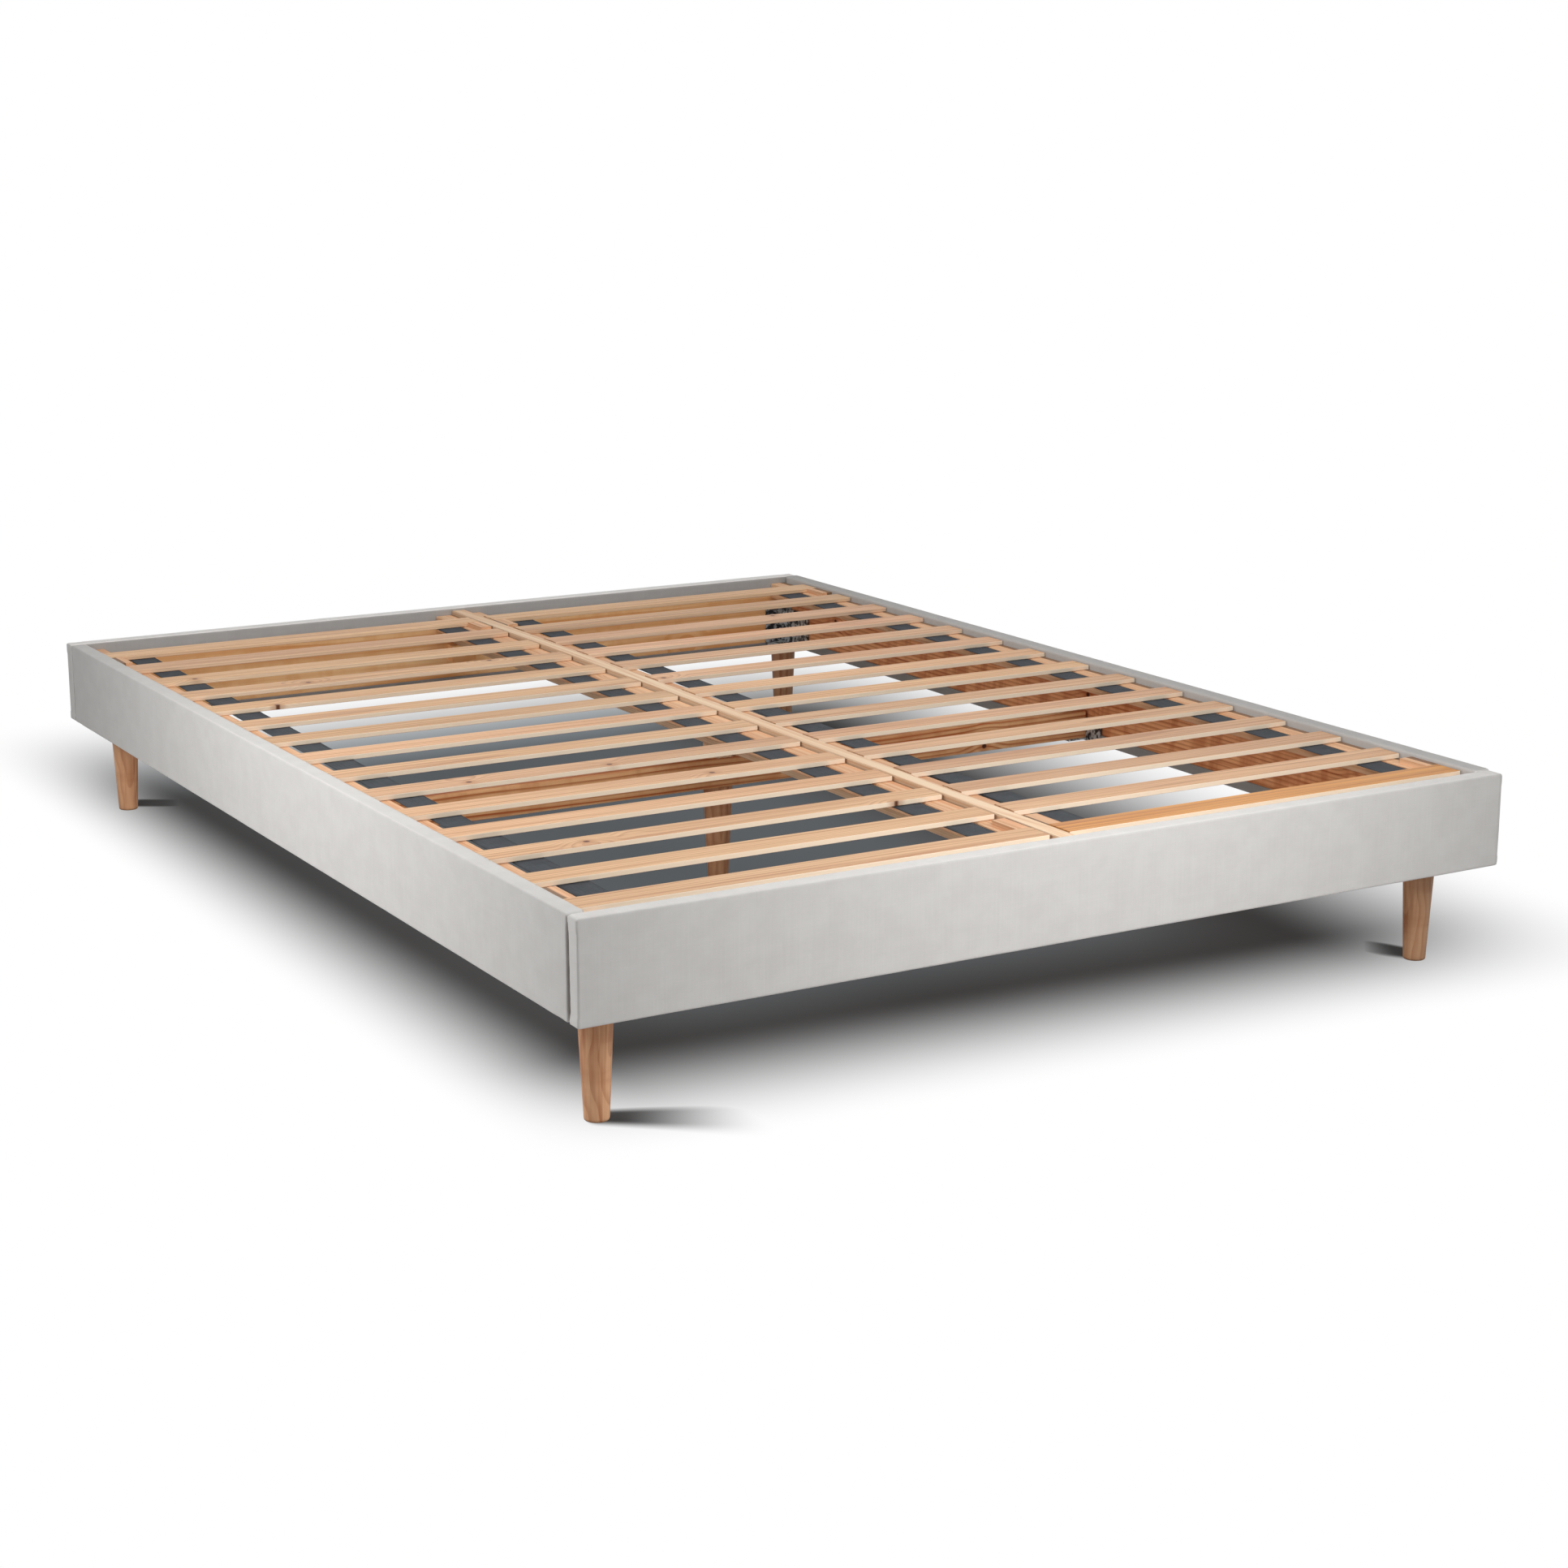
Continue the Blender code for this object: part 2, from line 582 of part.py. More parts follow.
def build_center_bolt():
    """Hexagon bolt from the cross rail's well down into the middle leg."""
    head = hexagon(NUT_HEIGHT)
    seat = CROSS_RAIL_UNDERSIDE + NUT_WELL_FLOOR + CLEARANCE
    shank = rod(LEG_LENGTH - ROD_DEPTH_IN_LEG - seat, NUT_HEIGHT / 2)
    data = worked("center_leg_bolt", head, additions=[shank])
    place("center_leg_bolt", data, "zinc_steel", matrix=at(0.0, -CROSS_RAIL_TOWARDS_FOOT, seat))


# Steel brackets

def corner_bracket(name, flanges, axis):
    """Two flanges over a leg plate, with its nut and rod, and the screws of the flanges.

    The flanges stand along X and along Y, and axis is the place of the leg's axis.
    """
    long_x, long_y = flanges
    axis_x, axis_y = axis
    wall = STEEL_THICKNESS
    bend = wall + STEEL_BEND_RADIUS
    outside = arc((bend, bend), bend, math.pi, 1.5 * math.pi)
    inside = arc((bend, bend), STEEL_BEND_RADIUS, 1.5 * math.pi, math.pi)
    angle = outside + [(long_x, 0.0), (long_x, wall)] + inside + [(wall, long_y), (0.0, long_y)]
    free_corner = arc(axis, LEG_TOP_RADIUS + LEG_PLATE_MARGIN, 0.0, math.pi / 2, ARC_SEGMENTS)
    plate = prism(outside + [(long_x, 0.0)] + free_corner + [(0.0, long_y)], wall)
    nut = hexagon(NUT_HEIGHT + JOIN_DEPTH)
    bmesh.ops.translate(nut, vec=(axis_x, axis_y, wall - JOIN_DEPTH), verts=nut.verts)
    stud = rod(-CLEARANCE - ROD_DEPTH_IN_LEG, wall + NUT_HEIGHT + ROD_END_ABOVE_NUT)
    bmesh.ops.translate(stud, vec=(axis_x, axis_y, 0.0), verts=stud.verts)
    screws = []
    for share in CORNER_SCREW_SHARES:
        height = FLANGE_HEIGHT * CORNER_SCREW_HEIGHT_SHARE
        screws.append(screw(at(long_x * share, wall, height) @ Matrix.Rotation(math.pi / 2, 4, "X")))
        screws.append(screw(at(wall, long_y * share, height) @ Matrix.Rotation(-math.pi / 2, 4, "Y")))
    return worked(name, prism(angle, FLANGE_HEIGHT), [plate, nut, stud] + screws)


def build_corner_brackets():
    """Four brackets, two of each hand."""
    flanges, axis = (END_FLANGE_LENGTH, SIDE_FLANGE_LENGTH), (AXIS_FROM_SIDE, AXIS_FROM_END)
    hands = (
        corner_bracket("corner_bracket", flanges, axis),
        corner_bracket("corner_bracket_other_hand", flanges[::-1], axis[::-1]),
    )
    x = INNER_WIDTH / 2 - CLEARANCE
    y = INNER_LENGTH / 2 - CLEARANCE
    for quarter, (name, corner_x, corner_y) in enumerate((
        ("foot_left_bracket", -x, -y),
        ("foot_right_bracket", x, -y),
        ("head_right_bracket", x, y),
        ("head_left_bracket", -x, y),
    )):
        turn = Matrix.Rotation(quarter * math.pi / 2, 4, "Z")
        placed = at(corner_x, corner_y, LEG_PLATE_UNDERSIDE) @ turn
        place(name, hands[quarter % 2], "zinc_steel", matrix=placed)


def cross_rail_bracket():
    """Winged plate with a shelf for the end of the cross rail, and its three screws."""
    wall = STEEL_THICKNESS
    width = CROSS_RAIL_WIDTH + 2 * CROSS_PLATE_WING
    plate = prism(rounded_rectangle(width, CROSS_PLATE_HEIGHT, PLATE_CORNER_RADIUS), wall)
    bmesh.ops.rotate(plate, matrix=Matrix.Rotation(math.pi / 2, 3, "X"), verts=plate.verts)
    shelf_size = (CROSS_RAIL_WIDTH, CROSS_SHELF_DEPTH, wall)
    shelf = block(shelf_size, (-CROSS_RAIL_WIDTH / 2, -CROSS_SHELF_DEPTH, 0.0))
    height = CROSS_PLATE_HEIGHT * CROSS_SCREW_HEIGHT_SHARE
    screws = [screw(outwards(x, -wall, height)) for x in (-CROSS_SCREW_OFFSET, CROSS_SCREW_OFFSET)]
    screws.append(screw(at(0.0, CLEARANCE - SHELF_SCREW_OFFSET, 0.0)))
    return worked("cross_rail_bracket", plate, [shelf] + screws)


def build_cross_rail_brackets(sides):
    data = cross_rail_bracket()
    for name in ("left", "right"):
        matrix = at(sides[name].cross_rail, -CLEARANCE, SHELF_UNDERSIDE - RAIL_UNDERSIDE)
        place(name + "_cross_rail_bracket", data, "zinc_steel", sides[name].empty, matrix)


def build_bed():
    clear_scene()
    sides = frame_sides()
    build_rails(sides)
    build_beam()
    build_ledgers()
    build_cross_rail()
    build_slat_rolls()
    build_legs()
    build_center_bolt()
    build_corner_brackets()
    build_cross_rail_brackets(sides)


build_bed()
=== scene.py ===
# %% [markdown]
# # An upholstered bed base with two lift-out slat rolls
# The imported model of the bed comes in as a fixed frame: rigid solids in metres, each with
# its name. This file gives every piece its finish, dresses the fabric parts in real cloth
# shapes, and sets up a floor, lights and a camera. Wood, steel and turned legs keep their
# solids, because their shapes are already right and only their surfaces are missing.

# %% Load the frame and keep the box of the bare model
import json
import math
import bmesh
import bpy
from mathutils import Matrix, Vector, noise

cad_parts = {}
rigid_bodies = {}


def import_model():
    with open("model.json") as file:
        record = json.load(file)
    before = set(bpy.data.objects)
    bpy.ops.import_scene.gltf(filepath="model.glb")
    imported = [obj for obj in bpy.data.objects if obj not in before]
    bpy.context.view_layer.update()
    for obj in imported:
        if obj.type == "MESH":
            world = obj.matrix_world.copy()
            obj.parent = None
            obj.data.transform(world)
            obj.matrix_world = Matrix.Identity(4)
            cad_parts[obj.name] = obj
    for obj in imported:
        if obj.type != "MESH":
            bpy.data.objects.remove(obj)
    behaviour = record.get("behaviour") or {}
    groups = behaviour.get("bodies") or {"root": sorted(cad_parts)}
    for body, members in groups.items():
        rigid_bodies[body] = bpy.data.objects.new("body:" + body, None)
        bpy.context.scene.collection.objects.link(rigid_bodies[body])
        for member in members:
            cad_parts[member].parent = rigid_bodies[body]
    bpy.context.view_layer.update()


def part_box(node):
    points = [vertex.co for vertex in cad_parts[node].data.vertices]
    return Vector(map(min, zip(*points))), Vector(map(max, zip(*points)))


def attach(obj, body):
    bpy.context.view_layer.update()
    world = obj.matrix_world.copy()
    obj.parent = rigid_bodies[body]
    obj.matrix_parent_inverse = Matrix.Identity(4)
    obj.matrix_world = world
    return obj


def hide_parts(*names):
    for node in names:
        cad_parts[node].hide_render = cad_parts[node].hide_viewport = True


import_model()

# %% [markdown]
# ## Camera
# A long lens seen from the left of the foot end, a little above the mattress line. The
# camera is placed by its position, heading and tilt, worked out so that the rails' corners
# fall where they should, and the tiny shift puts the optical axis in its true place.

# %% Place the camera
PHOTO_SIDE = 1932
FOCAL_PIXELS = 3554.26
OPTICAL_CENTRE = (966.66, 965.89)
CAMERA_PLACE = Vector((-2.07095, -3.73010, 1.18032))
CAMERA_HEADING, CAMERA_TILT, CAMERA_ROLL = 0.532959, 0.237900, 0.001208
SENSOR_WIDTH = 36.0

forward = Vector((
    math.sin(CAMERA_HEADING) * math.cos(CAMERA_TILT),
    math.cos(CAMERA_HEADING) * math.cos(CAMERA_TILT),
    -math.sin(CAMERA_TILT),
))
level = Vector((math.cos(CAMERA_HEADING), -math.sin(CAMERA_HEADING), 0.0))
upright = level.cross(forward)
right = level * math.cos(CAMERA_ROLL) + upright * math.sin(CAMERA_ROLL)
upward = upright * math.cos(CAMERA_ROLL) - level * math.sin(CAMERA_ROLL)

camera = bpy.data.objects.new("camera", bpy.data.cameras.new("camera"))
bpy.context.collection.objects.link(camera)
camera.data.sensor_width = SENSOR_WIDTH
camera.data.lens = FOCAL_PIXELS / PHOTO_SIDE * SENSOR_WIDTH
camera.data.shift_x = (PHOTO_SIDE / 2 - OPTICAL_CENTRE[0]) / PHOTO_SIDE
camera.data.shift_y = (OPTICAL_CENTRE[1] - PHOTO_SIDE / 2) / PHOTO_SIDE
camera.data.clip_start, camera.data.clip_end = 0.05, 200.0
turn = Matrix((right, upward, -forward)).transposed()
camera.matrix_world = Matrix.Translation(CAMERA_PLACE) @ turn.to_4x4()
bpy.context.scene.camera = camera
bpy.context.scene.view_settings.view_transform = "Standard"
print("lens:", round(camera.data.lens, 2), "mm")

# %% [markdown]
# ## Writing materials as sums
# A finish is a graph of nodes, and graphs are hard to read as calls. Here one small class
# stands for an output socket and gives it + - * / and **, so that `1 - mask * 0.3` adds its
# own Math nodes. A second class adds every other node by its type, its settings and its
# inputs. It serves the world as well as the materials, which have a class of their own.

# %% The socket and material helpers
class Wire:
    """One output of a node. Sums on it add Math nodes to its graph."""

    def __init__(self, graph, socket):
        self.graph = graph
        self.socket = socket

    def math(self, operation, *values):
        return self.graph.add("ShaderNodeMath", {"operation": operation}, values)

    def apply(self, operation, *others):
        return self.math(operation, self, *others)

    def __add__(self, other):
        return self.math("ADD", self, other)

    def __radd__(self, other):
        return self.math("ADD", other, self)

    def __sub__(self, other):
        return self.math("SUBTRACT", self, other)

    def __rsub__(self, other):
        return self.math("SUBTRACT", other, self)

    def __mul__(self, other):
        return self.math("MULTIPLY", self, other)

    def __rmul__(self, other):
        return self.math("MULTIPLY", other, self)

    def __truediv__(self, other):
        return self.math("DIVIDE", self, other)

    def __rtruediv__(self, other):
        return self.math("DIVIDE", other, self)

    def __pow__(self, other):
        return self.math("POWER", self, other)

    def __rpow__(self, other):
        return self.math("POWER", other, self)

    def fade(self, low, high, start=0.0, end=1.0):
        """A soft step from start to end while the value goes from low to high."""
        settings = {"interpolation_type": "SMOOTHSTEP"}
        return self.graph.add("ShaderNodeMapRange", settings, (self, low, high, start, end))


class Graph:
    """The nodes of a material or of the world."""

    def __init__(self, tree):
        self.tree = tree

    def add(self, kind, settings=None, inputs=(), output=0):
        """Add a node, set it up, feed its inputs by number or name, and return one output."""
        node = self.tree.nodes.new(kind)
        for key, value in (settings or {}).items():
            setattr(node, key, value)
        pairs = inputs.items() if isinstance(inputs, dict) else enumerate(inputs)
        for key, value in pairs:
            if isinstance(value, Wire):
                self.tree.links.new(value.socket, node.inputs[key])
            else:
                node.inputs[key].default_value = value
        return Wire(self, node.outputs[output])

    def place(self):
        """Object coordinates, in metres."""
        return self.add("ShaderNodeTexCoord", output="Object")

    def parts(self, vector):
        """The X, Y and Z of a vector."""
        return [self.add("ShaderNodeSeparateXYZ", inputs=(vector,), output=i) for i in range(3)]

    def vector(self, x, y, z):
        return self.add("ShaderNodeCombineXYZ", inputs=(x, y, z))

    def noise(self, vector, scale, detail, roughness=0.5):
        """Cloudy values around 0.5, finer with more detail."""
        inputs = {"Vector": vector, "Scale": scale, "Detail": detail, "Roughness": roughness}
        return self.add("ShaderNodeTexNoise", None, inputs, "Fac")

    def stretched(self, vector, x, y, z):
        return self.add("ShaderNodeVectorMath", {"operation": "MULTIPLY"}, (vector, (x, y, z)))

    def random(self, value):
        """A number from 0 to 1 that belongs to the value."""
        settings = {"noise_dimensions": "1D"}
        return self.add("ShaderNodeTexWhiteNoise", settings, {"W": value}, "Value")

    def mix(self, factor, first, second, blend="MIX"):
        """Mix two colours, each of them a wire or (red, green, blue)."""
        first, second = [c if isinstance(c, Wire) else (*c, 1.0) for c in (first, second)]
        return self.add(
            "ShaderNodeMix", {"data_type": "RGBA", "blend_type": blend},
            {0: factor, 6: first, 7: second}, 2,
        )

    def scaled(self, colour, factor):
        """A colour times one number."""
        inputs = {0: colour, "Scale": factor}
        return self.add("ShaderNodeVectorMath", {"operation": "SCALE"}, inputs)

    def bump(self, height, distance, strength):
        """The normal of a surface that is raised by height times distance."""
        inputs = {"Height": height, "Distance": distance, "Strength": strength}
        return self.add("ShaderNodeBump", None, inputs)

    def seen(self):
        """1 for camera, glossy and transmission rays, and 0 for light that bounces."""
        camera, *others = [
            self.add("ShaderNodeLightPath", output=f"Is {ray} Ray")
            for ray in ("Camera", "Glossy", "Transmission")
        ]
        return camera.apply("MAXIMUM", others[0]).apply("MAXIMUM", others[1])


class Finish(Graph):
    """A material with a Principled shader, and the nodes that feed it."""

    def __init__(self, name, **constants):
        self.material = bpy.data.materials.new(name)
        self.material.use_nodes = True
        super().__init__(self.material.node_tree)
        self.shader = self.tree.nodes["Principled BSDF"]
        for socket, value in constants.items():
            self.shader.inputs[socket.replace("_", " ")].default_value = value

    def feed(self, **wires):
        """Link wires to sockets of the Principled shader."""
        for socket, wire in wires.items():
            self.tree.links.new(wire.socket, self.shader.inputs[socket.replace("_", " ")])
        return self.material


def linear(red, green, blue):
    """Linear colour from the 0 to 255 values that a picture shows."""
    shares = [value / 255 for value in (red, green, blue)]
    return tuple(c / 12.92 if c < 0.04045 else ((c + 0.055) / 1.055) ** 2.4 for c in shares)


print("helpers ready; mid grey is", round(linear(188, 188, 188)[0], 3))

# %% [markdown]
# ## Studio
# The bed stands on a seamless white sweep. An even world and two softboxes, one for each of
# the sides that the camera sees, make light that is strongest at the middle of a side and
# falls off towards its ends. A third one hangs over the slats. The sweep is a real surface
# that takes the bed's shadow. For the camera, and for rays that a glossy or clear surface
# sends out, it fades to pure white around the bed and carries a painted shadow under it, so
# that the open frame stands out. Light that bounces off it isn't changed by this.
#
# Light as wide as this leaves hardly a shadow beside a thin leg. So a short painted shadow is
# drawn on the sweep at each of the three feet that stand in the open, and a painted dark band
# lies where the cross rail keeps the light away.

# %% Floor
FLOOR_SIZE = 60.0
PAPER_TONE, SHADED_TONE = 0.66, 0.055
UNDER_EDGE, UNDER_MIDDLE = 0.02, 0.095
UNDER_TINT = (0.86, 0.98, 1.06)
SHADE_EDGES = {
    # where the floor is still white, and where it is fully in shade
    "left": (-0.77, -0.53),
    "right": (1.06, 0.56),
    "foot": (-1.04, -0.665),
    "head": (1.62, 0.85),
}
FOOT_EDGE_SLANT, RIGHT_EDGE_SLANT, RIGHT_EDGE_START = 0.055, 0.085, -0.62
leg_low, leg_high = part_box("foot_right_leg")
LEG_X, LEG_Y = (leg_low[0] + leg_high[0]) / 2, -(leg_low[1] + leg_high[1]) / 2
FOOT_SHADOWS = (
    # foot place, how far its shadow runs level with the view, how far behind the foot it
    # starts, how much it drifts back, and its half width
    ((-LEG_X, -LEG_Y), 0.22, 0.008, 0.0, 0.050),
    ((LEG_X, -LEG_Y), -0.17, 0.025, 0.10, 0.075),
    ((-LEG_X, LEG_Y), 0.42, 0.040, 0.0, 0.072),
)
FOOT_SHADOW_WIDTH, FOOT_SHADOW_SPREAD = 0.75, 0.9
# the patch under the frame, where the painted shadow takes a faint bluish glow: edges across and
# along
PATCH_ACROSS, PATCH_FOOT, PATCH_HEAD = (0.3, 0.62), (-0.75, -0.45), (0.95, 1.3)
# the painted shadow band behind the cross rail: where it starts and is full, and where it fades
# and ends
BAND_ALONG = (0.39, 0.455, 0.58, 0.76)
BAND_ACROSS = (-0.62, -0.50, 0.75, 1.25)
BAND_DEPTH = 0.85

sweep = bmesh.new()
bmesh.ops.create_grid(sweep, x_segments=1, y_segments=1, size=FLOOR_SIZE / 2)
floor_mesh = bpy.data.meshes.new("floor")
sweep.to_mesh(floor_mesh)
sweep.free()
floor = bpy.data.objects.new("floor", floor_mesh)
bpy.context.collection.objects.link(floor)

paper = Finish("white_sweep", Roughness=1.0, Specular_IOR_Level=0.0)
floor_x, floor_y, _ = paper.parts(paper.place())
# the painted shadow of the bed: white beyond the outer edge of each side, full inside the inner
# one
foot_edge = floor_y + floor_x * FOOT_EDGE_SLANT
right_edge = floor_x - (floor_y - RIGHT_EDGE_START) * RIGHT_EDGE_SLANT
shade = floor_x.fade(*SHADE_EDGES["left"]) * foot_edge.fade(*SHADE_EDGES["foot"])
for axis, edge in ((right_edge, "right"), (floor_y, "head")):
    shade = shade * axis.fade(*reversed(SHADE_EDGES[edge]), 1.0, 0.0)
patch = floor_x.apply("ABSOLUTE").fade(*PATCH_ACROSS, 1.0, 0.0)
patch = patch * floor_y.fade(*PATCH_FOOT) * floor_y.fade(*PATCH_HEAD, 1.0, 0.0)
under = UNDER_EDGE + patch * (UNDER_MIDDLE - UNDER_EDGE)
# a painted shadow beside each of the three feet in the open
for (foot_x, foot_y), reach, behind, drift, half_width in FOOT_SHADOWS:
    from_x, from_y = floor_x - foot_x, floor_y - foot_y
    along = (from_x * level.x + from_y * level.y) / reach
    across = (from_y * level.x - from_x * level.y - behind - along * drift).apply("ABSOLUTE")
    across = across / (half_width * (FOOT_SHADOW_WIDTH + along * FOOT_SHADOW_SPREAD))
    streak = along.fade(-0.08, 0.02) * along.fade(0.1, 1.0, 1.0, 0.0)
    streak = streak * across.fade(0.3, 1.0, 1.0, 0.0)
    shade = shade.apply("MAXIMUM", streak)
# the painted shadow band behind the cross rail
start, full, fading, end = BAND_ALONG
band = floor_y.fade(start, full) * floor_y.fade(fading, end, 1.0, 0.0)
start, full, fading, end = BAND_ACROSS
band = band * floor_x.fade(start, full, 0.0, BAND_DEPTH) * floor_x.fade(fading, end, 1.0, 0.0)
shade = shade.apply("MAXIMUM", band)
# for the camera: a dark painted floor colour, with white glow outside the painted shadow and a
# faint bluish glow in the patch
seen = paper.seen()
tone = PAPER_TONE + seen * (SHADED_TONE - PAPER_TONE)
paper.feed(Base_Color=paper.vector(tone, tone, tone))
colour = paper.mix(patch, (1.0, 1.0, 1.0), UNDER_TINT)
glow = paper.add("ShaderNodeEmission", None, {"Color": colour, "Strength": 1.0})
blend = paper.add("ShaderNodeMixShader", None, {0: (1.0 - shade * (1.0 - under)) * seen})
mix_node = blend.socket.node
paper.tree.links.new(paper.shader.outputs[0], mix_node.inputs[1])
paper.tree.links.new(glow.socket, mix_node.inputs[2])
paper.tree.links.new(blend.socket, paper.tree.nodes["Material Output"].inputs["Surface"])
floor_mesh.materials.append(paper.material)
print("floor:", FLOOR_SIZE, "m square, with", len(FOOT_SHADOWS), "foot shadows")

# %% World and softboxes
WORLD_STRENGTH = 0.275
SOFTBOXES = (
    # name, place, aims at, width, height, power
    ("softbox_left", (-1.40, -0.17, 0.78), (-0.70, -0.19, 0.25), 1.15, 0.45, 9.3),
    ("softbox_front", (0.05, -1.62, 0.77), (-0.01, -0.95, 0.25), 1.0, 0.5, 8.3),
    ("softbox_top", (0.34, 0.12, 1.80), (0.30, 0.07, 0.27), 1.3, 1.3, 11.4),
)
world = bpy.data.worlds.new("studio")
bpy.context.scene.world = world
world.use_nodes = True
sky = world.node_tree.nodes["Background"]
sky.inputs["Color"].default_value = (1.0, 1.0, 1.0, 1.0)
surroundings = Graph(world.node_tree)
strength = WORLD_STRENGTH + surroundings.seen() * (1.0 - WORLD_STRENGTH)
surroundings.tree.links.new(strength.socket, sky.inputs["Strength"])

for name, spot, target, width, height, power in SOFTBOXES:
    lamp = bpy.data.lights.new(name, "AREA")
    lamp.shape = "RECTANGLE"
    lamp.size, lamp.size_y = width, height
    lamp.energy = power
    box = bpy.data.objects.new(name, lamp)
    bpy.context.collection.objects.link(box)
    aim = (Vector(target) - Vector(spot)).to_track_quat("-Z", "Y")
    box.matrix_world = Matrix.Translation(spot) @ aim.to_matrix().to_4x4()
    box.visible_camera = False
print("softboxes:", ", ".join(row[0] for row in SOFTBOXES))

# %% [markdown]
# ## Where the pieces are
# Every size below comes from the solids themselves. A rail is described in a frame of its
# own: along its length, outward from the inside of the bed, and up.

# %% Measure the solids
RAILS = ("head_rail", "foot_rail", "left_rail", "right_rail")
SLATS = 15
MILLIMETRE = 0.001

slat_low, slat_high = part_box("left_slat_01")
next_low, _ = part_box("left_slat_02")
slat_pitch = slat_low[1] - next_low[1]
slat_underside = slat_low[2]
middle_low, middle_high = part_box("left_slat_08")
roll_middle = (middle_low[1] + middle_high[1]) / 2
ledger_low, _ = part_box("left_ledger")
print("slat pitch:", round(slat_pitch, 5), "m; underside at", round(slat_underside, 4), "m")

# %% [markdown]
# ## Cloth for the rails
# Each rail is a board with a thin layer of wadding on its outside and top, wrapped in one
# length of heavy cotton. The cloth is turned in over the top and bottom edges and stapled
# inside, and its ends are folded around the ends of the board like the corners of a parcel.
# The cover starts as a box with rounded edges, cut into a fine grid, and the part of its
# inside that the cloth leaves bare is opened. The folds and the slight unevenness of hand
# work are then moved into the grid by formulas, because stretched cloth has no free drape
# that a simulation would find.

# %% Cloth cover: the stretched box
EDGE_RADIUS = 3.2 * MILLIMETRE
INNER_EDGE_RADIUS = 2.5 * MILLIMETRE
EDGE_STEPS = 5
TOP_TURN_IN = 26 * MILLIMETRE
BOTTOM_TURN_IN = 16 * MILLIMETRE
HEAD_BOTTOM_TURN_IN = 6 * MILLIMETRE
END_TURN_IN = 22 * MILLIMETRE
CLOTH_THICKNESS = 0.9 * MILLIMETRE
INNER_EDGE_STEPS = 3
GRID_ALONG, GRID_UP, GRID_ACROSS = 170, 52, 7
END_GRID_STEP = 1.25 * MILLIMETRE
END_GRID_LINES = 18
ON_INSIDE = 0.001 * MILLIMETRE


def box_mesh(low, high):
    """A box from corner to corner, as a new bmesh."""
    mesh = bmesh.new()
    bmesh.ops.create_cube(mesh, size=1.0)
    for vert in mesh.verts:
        vert.co = Vector([a + (b - a) * (c + 0.5) for a, b, c in zip(low, high, vert.co)])
    return mesh


def edges_parallel(mesh, axis, longer_than):
    """Edges that run along one axis and are longer than a length."""
    found = []
    for edge in mesh.edges:
        run = edge.verts[0].co - edge.verts[1].co
        if abs(run[axis]) > longer_than and abs(run[axis]) > 0.999 * run.length:
            found.append(edge)
    return found


def cut_across(mesh, axis, places):
    """Add an edge loop all round the mesh at each place along the axis."""
    normal = Vector([float(i == axis) for i in range(3)])
    for place in places:
        geometry = mesh.verts[:] + mesh.edges[:] + mesh.faces[:]
        bmesh.ops.bisect_plane(mesh, geom=geometry, plane_co=normal * place, plane_no=normal)


def cover_grid(length, depth, height, bottom_turn_in):
    """A rounded box on a fine grid: X along the rail, Y outward from 0, Z up from 0."""
    mesh = box_mesh((-length / 2, 0.0, 0.0), (length / 2, depth, height))
    outer = [e for e in mesh.edges if sum(v.co.y for v in e.verts) > 1.5 * depth]
    inner = [e for e in mesh.edges if sum(v.co.y for v in e.verts) < 0.5 * depth]
    across = [e for e in mesh.edges if e not in outer and e not in inner]
    bmesh.ops.bevel(
        mesh, geom=outer + across, offset=EDGE_RADIUS, segments=EDGE_STEPS, profile=0.5,
        affect="EDGES", material=-1,
    )
    rim = [e for e in mesh.edges if all(v.co.y < ON_INSIDE for v in e.verts)]
    bmesh.ops.bevel(
        mesh, geom=rim, offset=INNER_EDGE_RADIUS, segments=INNER_EDGE_STEPS, profile=0.5,
        affect="EDGES", material=-1,
    )
    for axis, longer_than, cuts in (
        (0, length / 2, GRID_ALONG), (2, height / 2, GRID_UP), (1, depth / 3, GRID_ACROSS)
    ):
        long_edges = edges_parallel(mesh, axis, longer_than)
        bmesh.ops.subdivide_edges(mesh, edges=long_edges, cuts=cuts, use_grid_fill=True)
    first_line = length / 2 - EDGE_RADIUS - END_GRID_STEP / 2
    near_end = [first_line - END_GRID_STEP * i for i in range(END_GRID_LINES)]
    cut_across(mesh, 0, [side * place for side in (-1, 1) for place in near_end])
    cut_across(mesh, 0, [length / 2 - END_TURN_IN, END_TURN_IN - length / 2])
    cut_across(mesh, 2, [bottom_turn_in, height - TOP_TURN_IN])
    bare = [
        face for face in mesh.faces
        if all(v.co.y < ON_INSIDE for v in face.verts)
        and abs(face.calc_center_median().x) < length / 2 - END_TURN_IN
        and bottom_turn_in < face.calc_center_median().z < height - TOP_TURN_IN
    ]
    bmesh.ops.delete(mesh, geom=bare, context="FACES")
    return mesh


TRIAL_SIZE = (0.6, 0.0256, 0.13)
trial = cover_grid(*TRIAL_SIZE, BOTTOM_TURN_IN)
print("cover grid:", TRIAL_SIZE[0], "m of it has", len(trial.faces), "faces")
trial.free()
